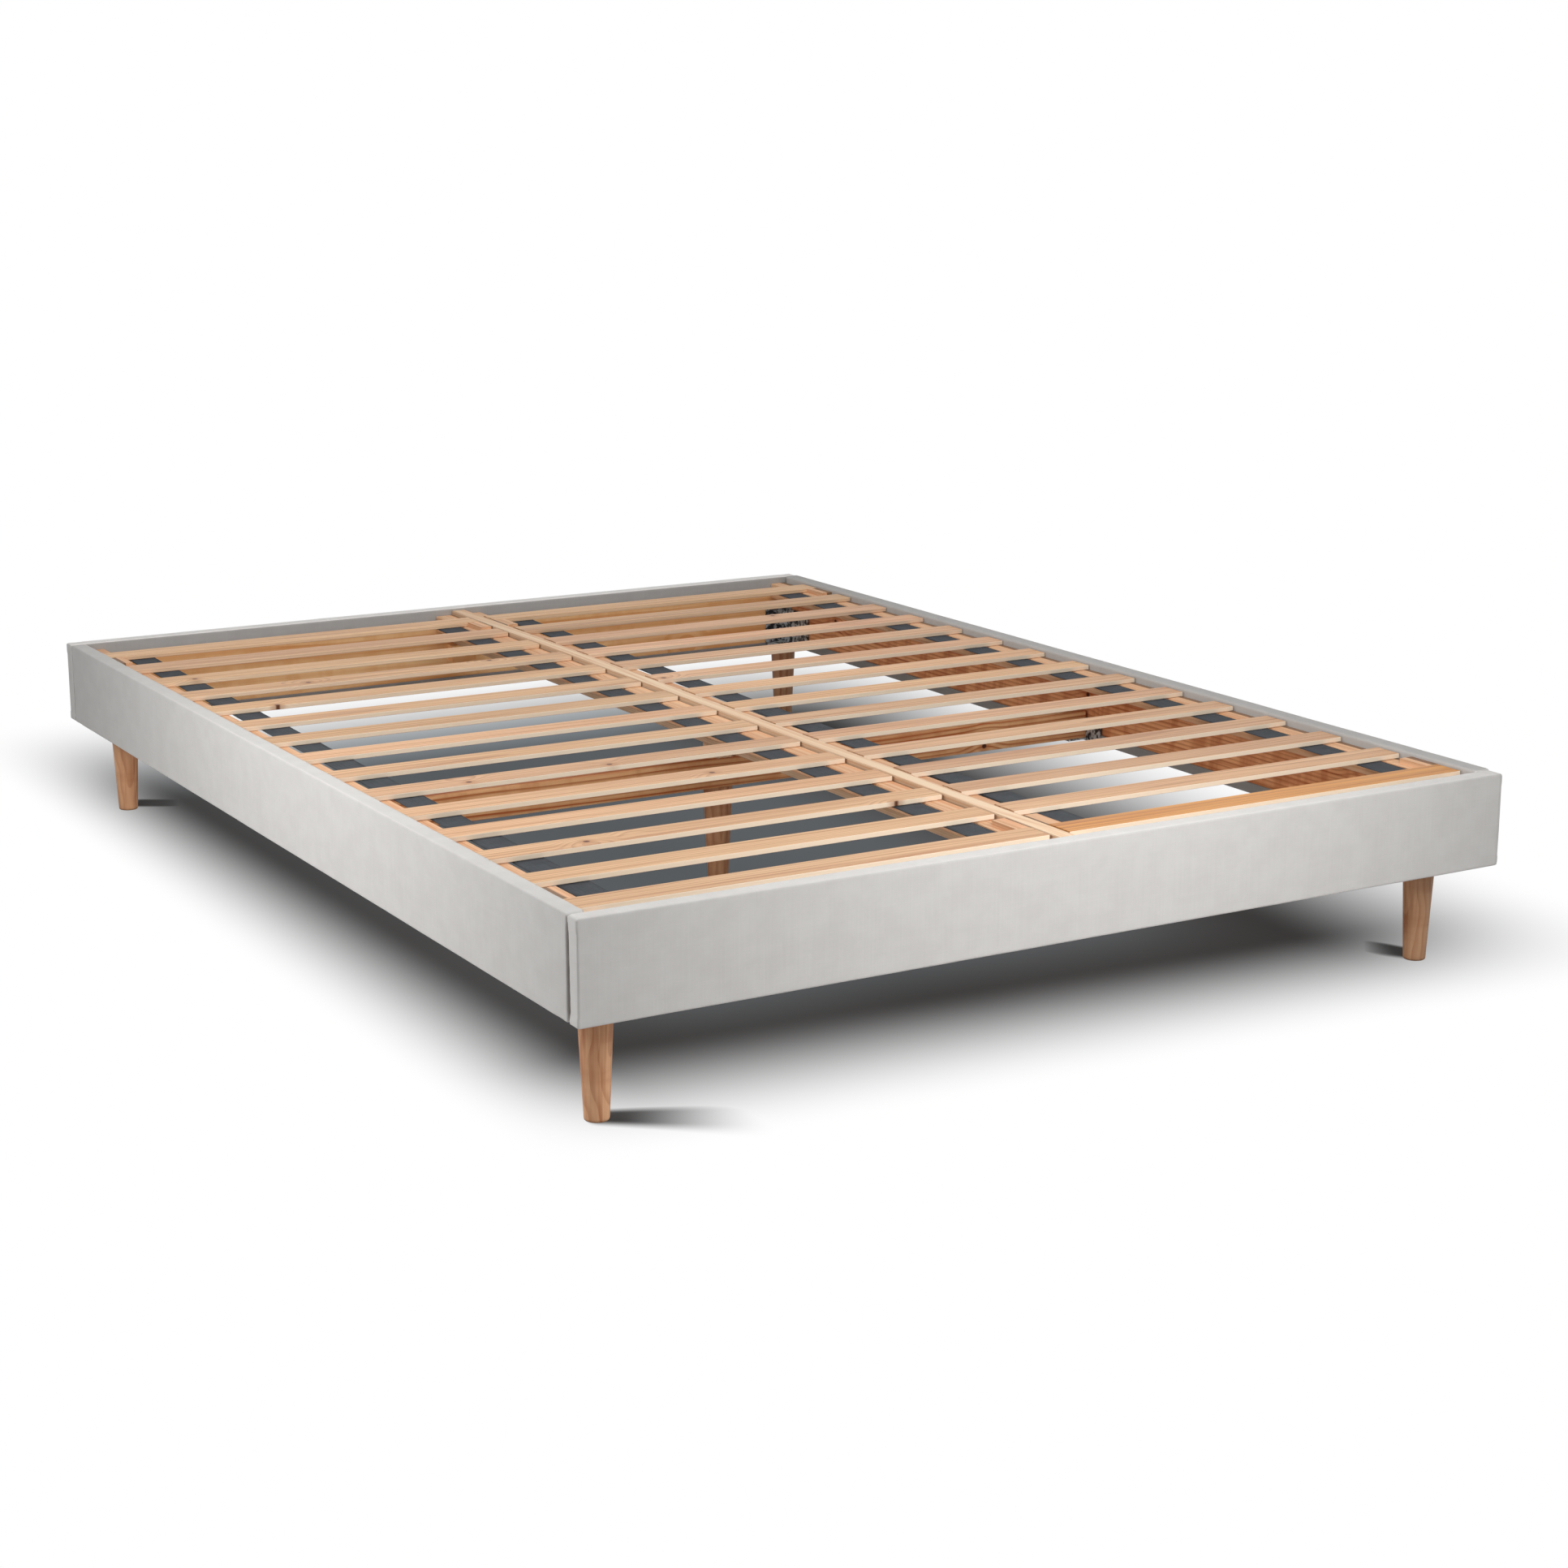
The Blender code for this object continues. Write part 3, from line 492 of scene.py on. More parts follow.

# %% [markdown]
# ### Folds and unevenness
# Heights in millimetres are added along the cloth's own normal. The long faces swell and
# sink by a third of a millimetre. On each end, the cloth that comes down from the top and up
# from the bottom is tucked under the flap that goes round the corner, so there are two
# doubled patches with a slanting edge, and the free edge of the flap wavers between them.
# The turned-in strips inside are pulled by their staples every few centimetres.
#
# The upright corners are pulled crisp by the fold, only the right end of the foot rail is
# rounder and has a line of stitches beside its corner. Last, each point gets a number that
# the cloth's colour is multiplied by, and that paints light and shade into it: painted shade
# on the hems inside the bed and on the top of the right rail, and painted highlights on the
# end folds and on the tops of the other rails. The stitched line is darker too.

# %% Cloth cover: folds
SWELL, FINE_SWELL = 0.35 * MILLIMETRE, 0.105 * MILLIMETRE
SWELL_ON_SIDES = 0.35
TUCK_HEIGHT = 0.7 * MILLIMETRE
TUCK_LENGTH = 17 * MILLIMETRE
TUCK_SLANT = 0.55
LOWER_TUCK_SHARE = 0.8
FLAP_PULL = 3.0 * MILLIMETRE
FLAP_PULL_BELOW = 2.6 * MILLIMETRE
FLAP_WAVER = 0.5 * MILLIMETRE
TUCK_PULL = 0.6
HEAD_LOOSENESS = 0.15
# painted highlight on the end folds, and painted shade on the bottom hems inside
END_FOLD_HIGHLIGHT, BOTTOM_HEM_SHADE = 1.10, 0.50
# painted light on the top of each rail and on the hem inside it: highlights above 1, shade below 1
TOP_PAINTED_LIGHT = {"head_rail": 1.6, "foot_rail": 1.18, "left_rail": 1.10, "right_rail": 0.80}
TOP_HEM_SHADES = {"head_rail": 0.72, "foot_rail": 0.86, "left_rail": 0.86, "right_rail": 0.86}
SEAM_INSET, SEAM_WIDTH, SEAM_TINT = 5.0 * MILLIMETRE, 1.3 * MILLIMETRE, 0.86
ROUND_CORNER, FACE_CORNER = 4.0 * MILLIMETRE, 7.0 * MILLIMETRE
SIDE_CRISPNESS, END_CRISPNESS = 6.0, 3.0
FOLD_LINE_INSET = 10.5 * MILLIMETRE
FOLD_LINE_STEP = 0.35 * MILLIMETRE
STAPLE_PITCH = 42 * MILLIMETRE
STAPLE_PULL = 0.5 * MILLIMETRE
STAPLE_SHARPNESS = 6


def step(value, low, high):
    """0 below low, 1 above high, and a soft rise between."""
    share = min(max((value - low) / (high - low), 0.0), 1.0)
    return share * share * (3 - 2 * share)


def cloth_height(point, length, depth, height, seed):
    """How far the cloth stands out at a point of the cover, along its normal."""
    x, y, z = point
    # the cloth's own unevenness, in waves per metre along, up and across
    swell = SWELL * noise.noise(Vector((x * 6, z * 13 + y * 5, seed)))
    swell += FINE_SWELL * noise.noise(Vector((x * 31, z * 23 + y * 9, seed + 7)))
    on_face = step(y, 0.4 * depth, depth)
    lift = swell * (SWELL_ON_SIDES + (1 - SWELL_ON_SIDES) * on_face)
    # the two tucks on each end
    from_end = length / 2 - abs(x)
    on_end = 1 - step(from_end, 0.0, 1.6 * MILLIMETRE)
    tuck_length = TUCK_LENGTH * (1 - TUCK_SLANT * (1 - y / depth))
    top_edge, bottom_edge = height - tuck_length, tuck_length * LOWER_TUCK_SHARE
    tuck = step(z, top_edge - 0.8 * MILLIMETRE, top_edge + 0.4 * MILLIMETRE)
    tuck += 1 - step(z, bottom_edge - 0.4 * MILLIMETRE, bottom_edge + 0.8 * MILLIMETRE)
    lift += TUCK_HEIGHT * tuck * on_end
    # the edge of the layer below shows through as a line beside the corner, on every other rail
    fold = step(FOLD_LINE_INSET - from_end, -0.5 * MILLIMETRE, 0.7 * MILLIMETRE)
    fold *= step(y, 0.8 * depth, depth)
    lift += FOLD_LINE_STEP * (fold - 1) * (from_end < 2.5 * FOLD_LINE_INSET) * (seed % 2)
    # the staples along the upper hem
    inside = 1 - step(y, 0.0, 0.1 * depth)
    beat = 0.5 + 0.5 * math.cos(x / STAPLE_PITCH * 2 * math.pi)
    lift -= STAPLE_PULL * inside * beat ** STAPLE_SHARPNESS * (0.4 < z / height)
    return lift


def rounded(point, core, radius):
    """Draw a point in to a circle around a corner's core, if it lies beyond it."""
    out = Vector(point) - Vector(core)
    if out.x > 0 and out.y > 0 and out.length > radius:
        out *= radius / out.length
    return Vector(core) + out


def reshape_ends(mesh, length, depth, height, crisp, round_corner):
    """Make the upright outer edge of each end crisper, or rounder where that is asked for."""
    for vert in mesh.verts:
        x, y, z = vert.co
        side = math.copysign(1.0, x)
        if side > 0 and round_corner:
            core = (length / 2 - round_corner, depth - round_corner)
            x, y = rounded((x, y), core, round_corner)
            half = height / 2
            core = (length / 2 - FACE_CORNER, half - FACE_CORNER)
            upper = math.copysign(1.0, z - half)
            x, z = rounded((x, abs(z - half)), core, FACE_CORNER)
            vert.co = (x, y, half + upper * z)
            continue
        core = Vector((length / 2 - EDGE_RADIUS, depth - EDGE_RADIUS))
        out = Vector((abs(x), y)) - core
        if out.x > 0 and out.y > 0:
            share = (out.x ** crisp + out.y ** crisp) ** (1 / crisp) / max(out.length, 1e-9)
            out /= max(share, 0.7)
            vert.co.x, vert.co.y = side * (core.x + out.x), core.y + out.y


def waver_flap(mesh, length, depth, height, seed, looseness):
    """Draw the flap's free edge in, less so at the tucks, on the inside edge of each end."""
    for vert in mesh.verts:
        x, y, z = vert.co
        if length / 2 - abs(x) > 4 * MILLIMETRE or y > depth / 2:
            continue
        between = step(z, 0.085 * height, 0.12 * height)
        between *= 1 - step(z, 0.84 * height, 0.88 * height)
        pull = FLAP_PULL + FLAP_PULL_BELOW * (1 - z / height)
        pull *= looseness * (TUCK_PULL + (1 - TUCK_PULL) * between)
        pull += FLAP_WAVER * noise.noise(Vector((z * 95, seed, x)))
        vert.co.y += pull * (1 - y / depth * 2)


def paint_fold_light(mesh, length, depth, height, top_light, top_hem_shade, seam):
    """Painted light and shade for each point, and the darker line of stitches."""
    layer = mesh.verts.layers.float.new("painted_light_and_seam")
    for vert in mesh.verts:
        x, y, z = vert.co
        on_end = 1 - step(length / 2 - abs(x), 0.3 * MILLIMETRE, 1.5 * MILLIMETRE)
        inside = 1 - step(y, 0.2 * MILLIMETRE, 1.5 * MILLIMETRE)
        hem = BOTTOM_HEM_SHADE if z < height / 2 else top_hem_shade
        on_top = step(z, height - 1.5 * MILLIMETRE, height - 0.3 * MILLIMETRE)
        from_seam = abs(length / 2 - x - SEAM_INSET) / SEAM_WIDTH
        stitched = seam * (1 - step(from_seam, 0.2, 1.0)) * (y > depth / 2)
        painted_light_and_seam = 1.0
        for share, full in (
            (on_end, END_FOLD_HIGHLIGHT), (inside, hem), (on_top, top_light), (stitched, SEAM_TINT)
        ):
            painted_light_and_seam *= 1 + share * (full - 1)
        vert[layer] = painted_light_and_seam


# %% Cloth cover: unrolled coordinates
def unroll(mesh, depth, height):
    """Give each corner its place in the flat cloth, in metres, as a UV map."""
    layer = mesh.loops.layers.uv.new("cloth")
    for face in mesh.faces:
        normal = face.normal
        above = face.calc_center_median().z - height / 2
        for loop in face.loops:
            x, y, z = loop.vert.co
            u, v = x, z
            if abs(normal.z) > 0.7071 and abs(normal.z) >= abs(normal.x):
                v = z + math.copysign(depth - y, normal.z)
            elif abs(normal.x) > 0.7071:
                u = x + math.copysign(depth - y, normal.x)
            elif normal.y < -0.5:
                turned_in = abs(height * (above > 0) - z)
                v = z + math.copysign(depth + 2 * turned_in, above)
            loop[layer].uv = (u, v)


print("folds and unrolled coordinates ready")

# %% [markdown]
# Each cover is laid in the frame of its rail, with the cloth as thick as it is, and the
# solid that held its place is hidden.

# %% Cloth cover: all four rails
def along_axis(low, high):
    """0 where a piece is longest along X, 1 where along Y."""
    return int(high[1] - low[1] > high[0] - low[0])


def add_piece(name, mesh, body):
    """Turn a bmesh into a smooth piece of the bed."""
    data = bpy.data.meshes.new(name)
    mesh.to_mesh(data)
    mesh.free()
    data.polygons.foreach_set("use_smooth", [True] * len(data.polygons))
    piece = bpy.data.objects.new(name, data)
    bpy.context.collection.objects.link(piece)
    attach(piece, body)
    return piece


covers = {}
for number, rail in enumerate(RAILS):
    low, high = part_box(rail + "_cover")
    axis = along_axis(low, high)
    length = high[axis] - low[axis]
    depth, height = high[1 - axis] - low[1 - axis], high[2] - low[2]
    outward = 1.0 if low[1 - axis] + high[1 - axis] > 0 else -1.0
    at_head, at_foot = rail == "head_rail", rail == "foot_rail"
    bottom_turn_in = HEAD_BOTTOM_TURN_IN if at_head else BOTTOM_TURN_IN
    crisp = SIDE_CRISPNESS if axis else END_CRISPNESS
    size = (length, depth, height)
    mesh = cover_grid(*size, bottom_turn_in)
    reshape_ends(mesh, *size, crisp, ROUND_CORNER if at_foot else 0.0)
    mesh.normal_update()
    unroll(mesh, depth, height)
    paint_fold_light(mesh, *size, TOP_PAINTED_LIGHT[rail], TOP_HEM_SHADES[rail], at_foot)
    mesh.normal_update()
    seed = number + 1
    moves = [(vert, vert.normal * cloth_height(vert.co, *size, seed)) for vert in mesh.verts]
    for vert, move in moves:
        vert.co += move
    waver_flap(mesh, *size, seed, HEAD_LOOSENESS if at_head else 1.0)
    inside_face = low[1 - axis] if outward > 0 else high[1 - axis]
    for vert in mesh.verts:
        x, y, z = vert.co
        place = [0.0, 0.0, z + low[2]]
        place[axis] = x + (low[axis] + high[axis]) / 2
        place[1 - axis] = inside_face + outward * y
        vert.co = place
    bmesh.ops.recalc_face_normals(mesh, faces=mesh.faces[:])
    piece = add_piece(rail + "_cloth", mesh, "frame")
    thick = piece.modifiers.new("cloth", "SOLIDIFY")
    thick.thickness = CLOTH_THICKNESS
    thick.offset = -1.0
    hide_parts(rail + "_cover")
    covers[rail] = piece
print("covers:", ", ".join(f"{p.name} {len(p.data.polygons)} faces" for p in covers.values()))

# %% [markdown]
# ## Webbing tapes
# Two tapes hold the slats of each roll at an even spacing. They are woven from dark
# polypropylene yarn, stapled to the underside of every slat, and hang a little in between.
# A flat strip is divided finely along its length and every point is lowered by the sag of
# its bay, with a slight cupping from edge to edge and edges that aren't quite straight.

# %% Tapes
TAPE_SAG = 1.6 * MILLIMETRE
TAPE_CUP = 0.5 * MILLIMETRE
TAPE_WANDER = 0.6 * MILLIMETRE
TAPE_THICKNESS = 1.3 * MILLIMETRE
TAPE_STEPS_ACROSS, TAPE_STEPS_PER_BAY = 8, 12
TAPES = ("left_inner_tape", "left_outer_tape", "right_inner_tape", "right_outer_tape")

tapes = {}
held_share = (slat_high[1] - slat_low[1]) / 2 / slat_pitch
tape_steps = TAPE_STEPS_PER_BAY * (SLATS - 1)
for number, name in enumerate(TAPES):
    low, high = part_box(name)
    width, length = high[0] - low[0], high[1] - low[1]
    mesh = bmesh.new()
    bmesh.ops.create_grid(mesh, x_segments=TAPE_STEPS_ACROSS, y_segments=tape_steps, size=0.5)
    layer = mesh.loops.layers.uv.new("cloth")
    for vert in mesh.verts:
        across, y = vert.co.x, vert.co.y * length
        bay = (y / slat_pitch) % 1.0
        free = max(0.0, (bay * (1 - bay) - held_share * (1 - held_share)) * 4)
        sag = TAPE_SAG * free * (1 + 0.5 * noise.noise(Vector((y * 9, number * 3.1, 0))))
        sag += TAPE_CUP * free * (1 - (2 * across) ** 2)
        wander = TAPE_WANDER * noise.noise(Vector((y * 5, number * 7.7, 2)))
        x = low[0] + width * (across + 0.5) + wander
        vert.co = Vector((x, y + (low[1] + high[1]) / 2, high[2] - sag))
    for face in mesh.faces:
        for loop in face.loops:
            loop[layer].uv = (loop.vert.co.x - low[0], loop.vert.co.y)
    body = "left_slat_roll" if name.startswith("left") else "right_slat_roll"
    piece = add_piece(name + "_webbing", mesh, body)
    thick = piece.modifiers.new("webbing", "SOLIDIFY")
    thick.thickness = TAPE_THICKNESS
    thick.offset = -1.0
    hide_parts(name)
    tapes[name] = piece
print("tapes:", ", ".join(tapes))

# %% [markdown]
# ## Timber
# All the wood is cut from logs, so one recipe serves every board: rings around a pith that
# lies outside the piece, cut through at a slant, make lines along the face that wander,
# close into arches and bend around knots. Fine fibres, streaks and blotches of resin do the
# rest. The recipe works on object coordinates, and a number made from each board's place
# picks its log, its tone and its hue.

# %% Timber recipe
KNOT_SPACING = (3.1, 3.4)
KNOT_SWELL = 0.010
LOG_SHIFT = 0.10
RESIN = 0.35


class Wood(Finish):
    """A finish that knows which board a point belongs to. board(x, y, z) gives a number for
    each board, and the place of a point within it in two measures across the grain."""

    def __init__(self, name, board):
        super().__init__(name, Specular_IOR_Level=0.2)
        self.axes = self.parts(self.place())
        self.number, self.first, self.second = board(*self.axes)
        self.chance = [self.random(self.number + i * 17.3 + 2.7) for i in range(4)]

    def cloud(self, lengthwise, across, deep, detail, coarseness=0.5):
        """Noise in waves per metre along and across the grain."""
        return self.noise(self.vector(lengthwise, across, deep), 1.0, detail, coarseness)


def timber(
    name, along, tones, board, ring_pitch, pith=0.06, wander=0.024, bend=0.9, lines=0.45,
    fibre=0.25, figure=0.0, knots=0.0, knot_chance=1.0, roughness=0.5, tone_range=(0.88, 1.06),
    changes=(),
):
    """Wood with its grain along an axis. Ring pitch, pith and wander are lengths, bend is in
    waves per metre, and lines to knot chance are shares. Changes are made to the tone last."""
    light, dark, knot_tone = tones
    finish = Wood(name, board)
    first, second, chance = finish.first, finish.second, finish.chance
    lengthways = finish.axes[along]

    # the log: distance from the pith, drawn out around knots, and its yearly rings
    slow_place = (lengthways * bend + chance[0] * 40, first * 9, second * 9 + chance[1] * 20)
    slow = finish.cloud(*slow_place, 2.0)
    knot_place = finish.vector(
        lengthways * KNOT_SPACING[0] + chance[2] * 60, first * KNOT_SPACING[1] + chance[3] * 9, 0.0
    )
    settings, inputs = {"voronoi_dimensions": "2D"}, {"Vector": knot_place, "Scale": 1.0}
    spot = finish.add("ShaderNodeTexVoronoi", settings, inputs)
    knots = chance[0].apply("LESS_THAN", knot_chance) * knots if knots else 0.0
    away, deep = first + (chance[1] - 0.5) * LOG_SHIFT, second + pith
    radius = (away * away + deep * deep) ** 0.5 + slow * wander
    radius = radius - spot.fade(0.0, 0.16, KNOT_SWELL, 0.0) * knots
    ring = (radius / ring_pitch).apply("FRACT")
    late = ring.fade(0.35, 0.92) * ring.fade(0.94, 1.0, 1.0, 0.0)

    # the colour: rings, fibres and streaks, then blotches and figure
    fibres = finish.cloud(lengthways * 5, first * 420, second * 420 + chance[0] * 9, 4.0, 0.6)
    blotch = finish.cloud(lengthways * 2.2 + chance[3] * 30, first * 14, second * 14, 3.0)
    streaks = finish.cloud(lengthways * 2.5 + chance[1] * 30, first * 150, second * 150, 2.0)
    amount = late * lines + fibres * fibre + streaks.fade(0.42, 0.72) * 0.4
    tone = finish.mix(amount, light, dark)
    tone = finish.mix(blotch.fade(0.35, 0.75) * RESIN, tone, dark)
    if figure:
        bands = finish.cloud(lengthways * 26, first * 5 + lengthways * 7, second * 5, 3.0, 0.6)
        tone = finish.mix(bands.fade(0.42, 0.68) * figure, tone, dark)
    tone = finish.scaled(tone, tone_range[0] + chance[2] * (tone_range[1] - tone_range[0]))
    for change, *values in changes:
        tone = change(finish, tone, *values)
    if knots:
        tone = finish.mix(spot.fade(0.015, 0.055, 0.55, 0.0) * knots, tone, dark)
        tone = finish.mix(spot.fade(0.008, 0.018, 1.0, 0.0) * knots, tone, knot_tone)
    rough = roughness + fibres * 0.16 - late * 0.08
    normal = finish.bump(fibres + late * 0.4, 0.25 * MILLIMETRE, 0.5)
    return finish.feed(Base_Color=tone, Roughness=rough, Normal=normal)


print("knots about", round(1 / KNOT_SPACING[0], 2), "m apart along a board")

# %% [markdown]
# Some boards need a little more. The hue of a slat lies anywhere between two, one slat is
# warmer than the others, and their front faces get a painted highlight. Legs on the side away
# from the lamps get painted shade, and each leg has a rim of painted shade at its foot. The
# ends of the head and foot boards, and the seams beside the beam and the ledgers, get painted
# shade.

# %% Changes to the tone of some boards
END_SHADE, END_SHADE_WIDTH = 0.12, 4.0 * MILLIMETRE
SEAM_SHADE_WIDTH = 2.0 * MILLIMETRE
FOOT_SHADE = 0.5


def blend_hues(wood, tone, first, second):
    """Each board's colour times a hue between two."""
    return wood.mix(1.0, tone, wood.mix(wood.chance[3], first, second), "MULTIPLY")


def stain_board(wood, tone, wanted, hue):
    """The colour of the one board with the wanted number times a hue."""
    return wood.mix(wood.number.apply("COMPARE", wanted, 0.5), tone, hue, "MULTIPLY")


def paint_right_shade(wood, tone, amount):
    """Painted shade on the right half of the bed, away from the lamps."""
    return wood.scaled(tone, wood.axes[0].fade(-0.1, 0.1, 1.0, 1.0 - amount))


def paint_foot_shade(wood, tone, height):
    """Painted shade in a rim where a leg stands on the floor."""
    return wood.scaled(tone, wood.axes[2].fade(0.0, height, FOOT_SHADE, 1.0))


def paint_end_shade(wood, tone, start):
    """Painted shade, almost black, from this far across the bed onward."""
    across = wood.axes[0].apply("ABSOLUTE")
    return wood.scaled(tone, across.fade(start, start + END_SHADE_WIDTH, 1.0, END_SHADE))


def paint_seam_shade(wood, tone, near, far, shade):
    """Painted shade beside two lines that run the length of the bed."""
    across = wood.axes[0].apply("ABSOLUTE")
    seam = across.fade(near, near + SEAM_SHADE_WIDTH, shade, 1.0)
    return wood.scaled(tone, seam * across.fade(far - SEAM_SHADE_WIDTH, far, 1.0, shade))


def paint_front_highlight(wood, tone, highlight_tone):
    """Painted highlight on faces that look towards the foot end, weaker near the head."""
    facing = wood.parts(wood.add("ShaderNodeNewGeometry", output="Normal"))[1]
    pale = facing.fade(-0.9, -0.35, 1.0, 0.0) * wood.axes[1].fade(0.0, 0.8, 0.94, 0.25)
    return wood.mix(pale, tone, highlight_tone)


# %% Which board a point belongs to
# the counts of slats are this much higher on the right, and as much lower on the left
SIDE_COUNT = 31.0
# how far out the pith is measured from in a side rail
SIDE_FACE = 0.68


def slat_board(x, y, z):
    """Slats: counted along the bed, with a different count for each side."""
    from_middle = y - roll_middle
    count = (from_middle / slat_pitch).apply("ROUND")
    number = count + x.apply("SIGN") * SIDE_COUNT
    return number, from_middle - count * slat_pitch, z - slat_underside


def lengthwise_board(x, y, z):
    """Ledgers and beam: one number for each place across the bed."""
    return (x * 60).apply("ROUND"), x, z


def side_board(x, y, z):
    """Side rails: one number for each side, with the face seen from the inside."""
    return x.apply("SIGN") + 5.0, z, x * x.apply("SIGN") - SIDE_FACE


def end_board(x, y, z):
    """Head and foot rails and the cross rail."""
    return (y * 20).apply("ROUND"), z, y


def leg_board(x, y, z):
    """Legs: each measured from its own axis."""
    column, row = (x / LEG_X).apply("ROUND"), (y / LEG_Y).apply("ROUND")
    return column * 3 + row * 7 + 11, x - column * LEG_X, (y - row * LEG_Y) * 0.6


LAST_RIGHT_SLAT = SIDE_COUNT - SLATS // 2
print("the right-hand slat nearest the foot has the number", LAST_RIGHT_SLAT)

# %% Timber materials
# light wood, dark wood and the core of a knot
PINE = (linear(239, 200, 161), linear(184, 130, 90), linear(96, 52, 28))
RED_PINE = (linear(255, 190, 136), linear(180, 94, 50), linear(74, 32, 16))
HEAD_PINE = (linear(255, 212, 158), linear(222, 150, 88), linear(84, 44, 20))
CROSS_PINE = (linear(255, 208, 154), linear(186, 104, 56), linear(78, 42, 20))
FLESH_PINE = (linear(246, 204, 164), linear(212, 148, 104), linear(110, 60, 36))
BEAM_PINE = (linear(250, 224, 192), linear(222, 172, 130), linear(120, 70, 40))
OAK = (linear(240, 192, 150), linear(168, 104, 66), linear(110, 68, 44))
SLAT_HUES = ((1.035, 0.975, 0.99), (1.0, 0.995, 0.91))
_, beam_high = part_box("center_beam")
BEAM_EDGE, LEDGER_EDGE = beam_high[0], -ledger_low[0]

slat_wood = timber(
    "slat_pine", 0, PINE, slat_board, 3.6 * MILLIMETRE, fibre=0.35, knots=1.0, knot_chance=0.45,
    roughness=0.42, tone_range=(0.88, 1.12), changes=(
        (blend_hues, *SLAT_HUES), (stain_board, LAST_RIGHT_SLAT, linear(250, 223, 166)),
        (paint_front_highlight, linear(255, 238, 214)),
    ),
)
ledger_wood = timber(
    "ledger_pine", 1, FLESH_PINE, lengthwise_board, 3.5 * MILLIMETRE, knots=0.6,
    changes=((paint_seam_shade, BEAM_EDGE + 0.002, LEDGER_EDGE - 0.010, 0.3),),
)
beam_wood = timber(
    "beam_pine", 1, BEAM_PINE, lengthwise_board, 3.5 * MILLIMETRE, knots=0.6,
    tone_range=(0.98, 1.02), changes=((paint_seam_shade, -1.0, BEAM_EDGE - 0.0005, 0.7),),
)
side_wood = timber(
    "side_rail_pine", 1, RED_PINE, side_board, 6.5 * MILLIMETRE, pith=0.10, figure=0.55,
    knots=1.0, roughness=0.6, tone_range=(1.06, 1.06),
)
end_wood = timber(
    "end_rail_pine", 0, HEAD_PINE, end_board, 6.5 * MILLIMETRE, pith=0.10, figure=0.3,
    knots=1.0, roughness=0.6, tone_range=(1.06, 1.06), changes=((paint_end_shade, 0.690),),
)
cross_wood = timber(
    "cross_rail_pine", 0, CROSS_PINE, end_board, 7.5 * MILLIMETRE, pith=0.05, bend=1.6,
    lines=0.7, figure=0.3, knots=1.0, roughness=0.55, tone_range=(1.02, 1.02),
)
leg_wood = timber(
    "leg_oak", 2, OAK, leg_board, 10.0 * MILLIMETRE, pith=0.022, wander=0.05, bend=7.0,
    lines=0.28, fibre=0.45, figure=0.35, roughness=0.45, tone_range=(1.0, 1.04),
    changes=((paint_right_shade, 0.36), (paint_foot_shade, 5.0 * MILLIMETRE)),
)
print("timber materials ready")

# %% [markdown]
# ## Cloth and steel finishes
# The cover cloth is a plain weave of slightly uneven yarn, so it takes its threads from the
# unrolled coordinates. The yarn is a fraction of a millimetre, which the main view can't
# resolve, but its unevenness shows as soft vertical streaks and mottling. The tapes are the
# same weave, coarser and dark. The brackets have the dull, blotchy zinc of stamped hardware.

# %% Cloth materials
YARN_PITCH = 0.62 * MILLIMETRE
TAPE_YARN_PITCH = 1.1 * MILLIMETRE


def woven(name, pitch, tones, streaks, relief, roughness, fuzz=0.0, shows_painted_light=False):
    """A plain weave on the unrolled coordinates of a cloth."""
    finish = Finish(name, Specular_IOR_Level=0.2, Sheen_Weight=fuzz, Sheen_Roughness=0.6)
    cloth = finish.add("ShaderNodeUVMap", {"uv_map": "cloth"})
    u, v, _ = finish.parts(cloth)
    wobble = finish.noise(finish.vector(u * 60, v * 60, 0.0), 1.0, 2.0) * 0.5
    warp = ((u / pitch + wobble) * math.pi).apply("SINE")
    weft = ((v / pitch + wobble) * math.pi).apply("SINE")
    over = warp.apply("ABSOLUTE") * (weft * warp).fade(-0.3, 0.3, 0.45, 1.0)
    under = weft.apply("ABSOLUTE") * (weft * warp).fade(-0.3, 0.3, 1.0, 0.45)
    threads = over.apply("MAXIMUM", under)
    slub_u = finish.noise(finish.vector(u * 420, v * 9, 3.0), 1.0, 3.0, 0.6)
    slub_v = finish.noise(finish.vector(u * 9, v * 420, 8.0), 1.0, 3.0, 0.6)
    mottle = finish.noise(finish.vector(u * 26, v * 30, 1.0), 1.0, 4.0, 0.55)
    light, dark = tones
    amount = (slub_u - 0.5) * streaks + (slub_v - 0.5) * streaks * 0.6
    amount = amount + mottle.fade(0.3, 0.7, -0.16, 0.16) + 0.5
    tone = finish.mix(amount, dark, light)
    tone = finish.mix(threads.fade(0.2, 0.75, 0.30, 0.0), tone, dark)
    # the painted light and shade of the folds, hems and tops, and the darker stitched line
    if shows_painted_light:
        painted_light_and_seam = finish.add("ShaderNodeAttribute", {"attribute_name": "painted_light_and_seam"}, output="Fac")
        tone = finish.scaled(tone, painted_light_and_seam)
    normal = finish.bump(threads + slub_u * 0.6 + slub_v * 0.4, relief, 0.6)
    rough = roughness + mottle * 0.1
    return finish.feed(Base_Color=tone, Roughness=rough, Normal=normal)


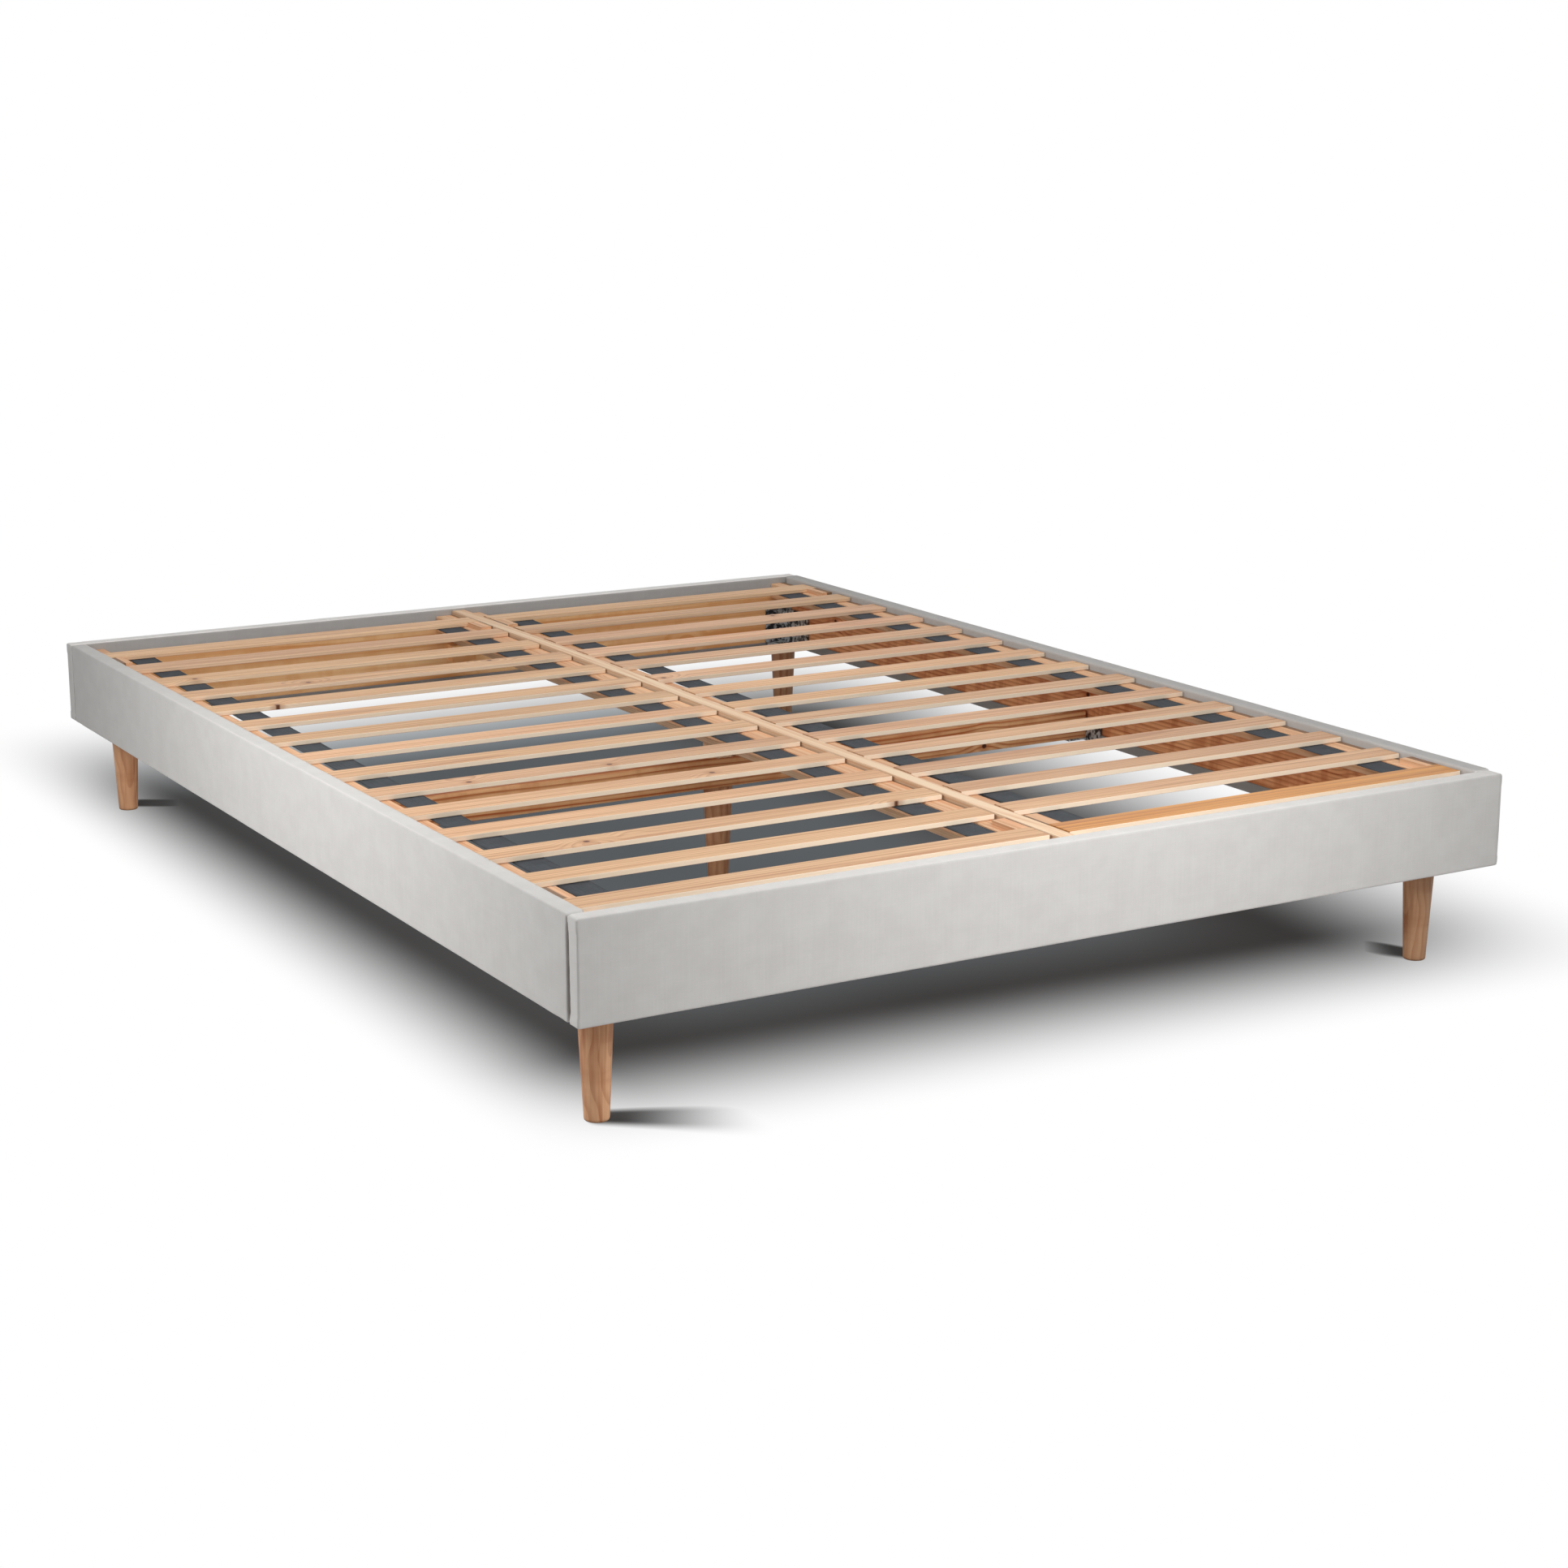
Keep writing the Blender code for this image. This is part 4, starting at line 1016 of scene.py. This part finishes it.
cover_cloth = woven(
    "cover_cotton", YARN_PITCH, (linear(213, 211, 208), linear(196, 193, 190)), streaks=0.5,
    relief=0.12 * MILLIMETRE, roughness=0.85, fuzz=0.1, shows_painted_light=True,
)
tape_cloth = woven(
    "tape_polypropylene", TAPE_YARN_PITCH, (linear(85, 89, 94), linear(48, 51, 55)), streaks=0.8,
    relief=0.3 * MILLIMETRE, roughness=0.8,
)

# %% Steel material
def zinc():
    """Zinc with dark and bright blotches, small crystals and drawn scratches."""
    finish = Finish("dull_zinc", Metallic=0.55)
    place = finish.place()
    cloud = finish.noise(place, 110.0, 4.0, 0.6)
    crystal = finish.add("ShaderNodeTexVoronoi", None, {"Vector": place, "Scale": 260.0}, 1)
    scratch = finish.noise(finish.stretched(place, 30, 900, 900), 1.0, 2.0)
    tone = finish.mix(cloud.fade(0.41, 0.60), linear(56, 58, 61), linear(214, 218, 220))
    rough = cloud.fade(0.3, 0.7, 0.28, 0.5) + scratch.fade(0.55, 0.7, 0.0, 0.15)
    rough = rough + finish.add("ShaderNodeRGBToBW", None, (crystal,)) * 0.08
    normal = finish.bump(scratch + cloud, 0.2 * MILLIMETRE, 0.3)
    return finish.feed(Base_Color=tone, Roughness=rough, Normal=normal)


zinc_steel = zinc()
print("cloth and steel materials ready")

# %% [markdown]
# ## Dress the pieces
# New cloth gets its material directly. The solids keep their meshes and only swap what is
# in their material slots.

# %% Hand out the materials
def paint(names, material):
    for name in names:
        slots = bpy.data.objects[name].data.materials
        slots.clear()
        slots.append(material)


paint([p.name for p in covers.values()], cover_cloth)
paint([p.name for p in tapes.values()], tape_cloth)
sides, ends = ("left", "right"), ("head", "foot")
paint([f"{side}_slat_{i:02d}" for side in sides for i in range(1, SLATS + 1)], slat_wood)
paint(["left_ledger", "left_beam_ledger", "right_beam_ledger", "right_ledger"], ledger_wood)
paint(["center_beam"], beam_wood)
paint(["left_rail", "right_rail"], side_wood)
paint(["head_rail", "foot_rail"], end_wood)
paint(["cross_rail"], cross_wood)
corners = [f"{end}_{side}" for end in ends for side in sides]
paint([corner + "_leg" for corner in corners] + ["center_leg"], leg_wood)
paint([corner + "_bracket" for corner in corners], zinc_steel)
paint([side + "_cross_rail_bracket" for side in sides] + ["center_leg_bolt"], zinc_steel)
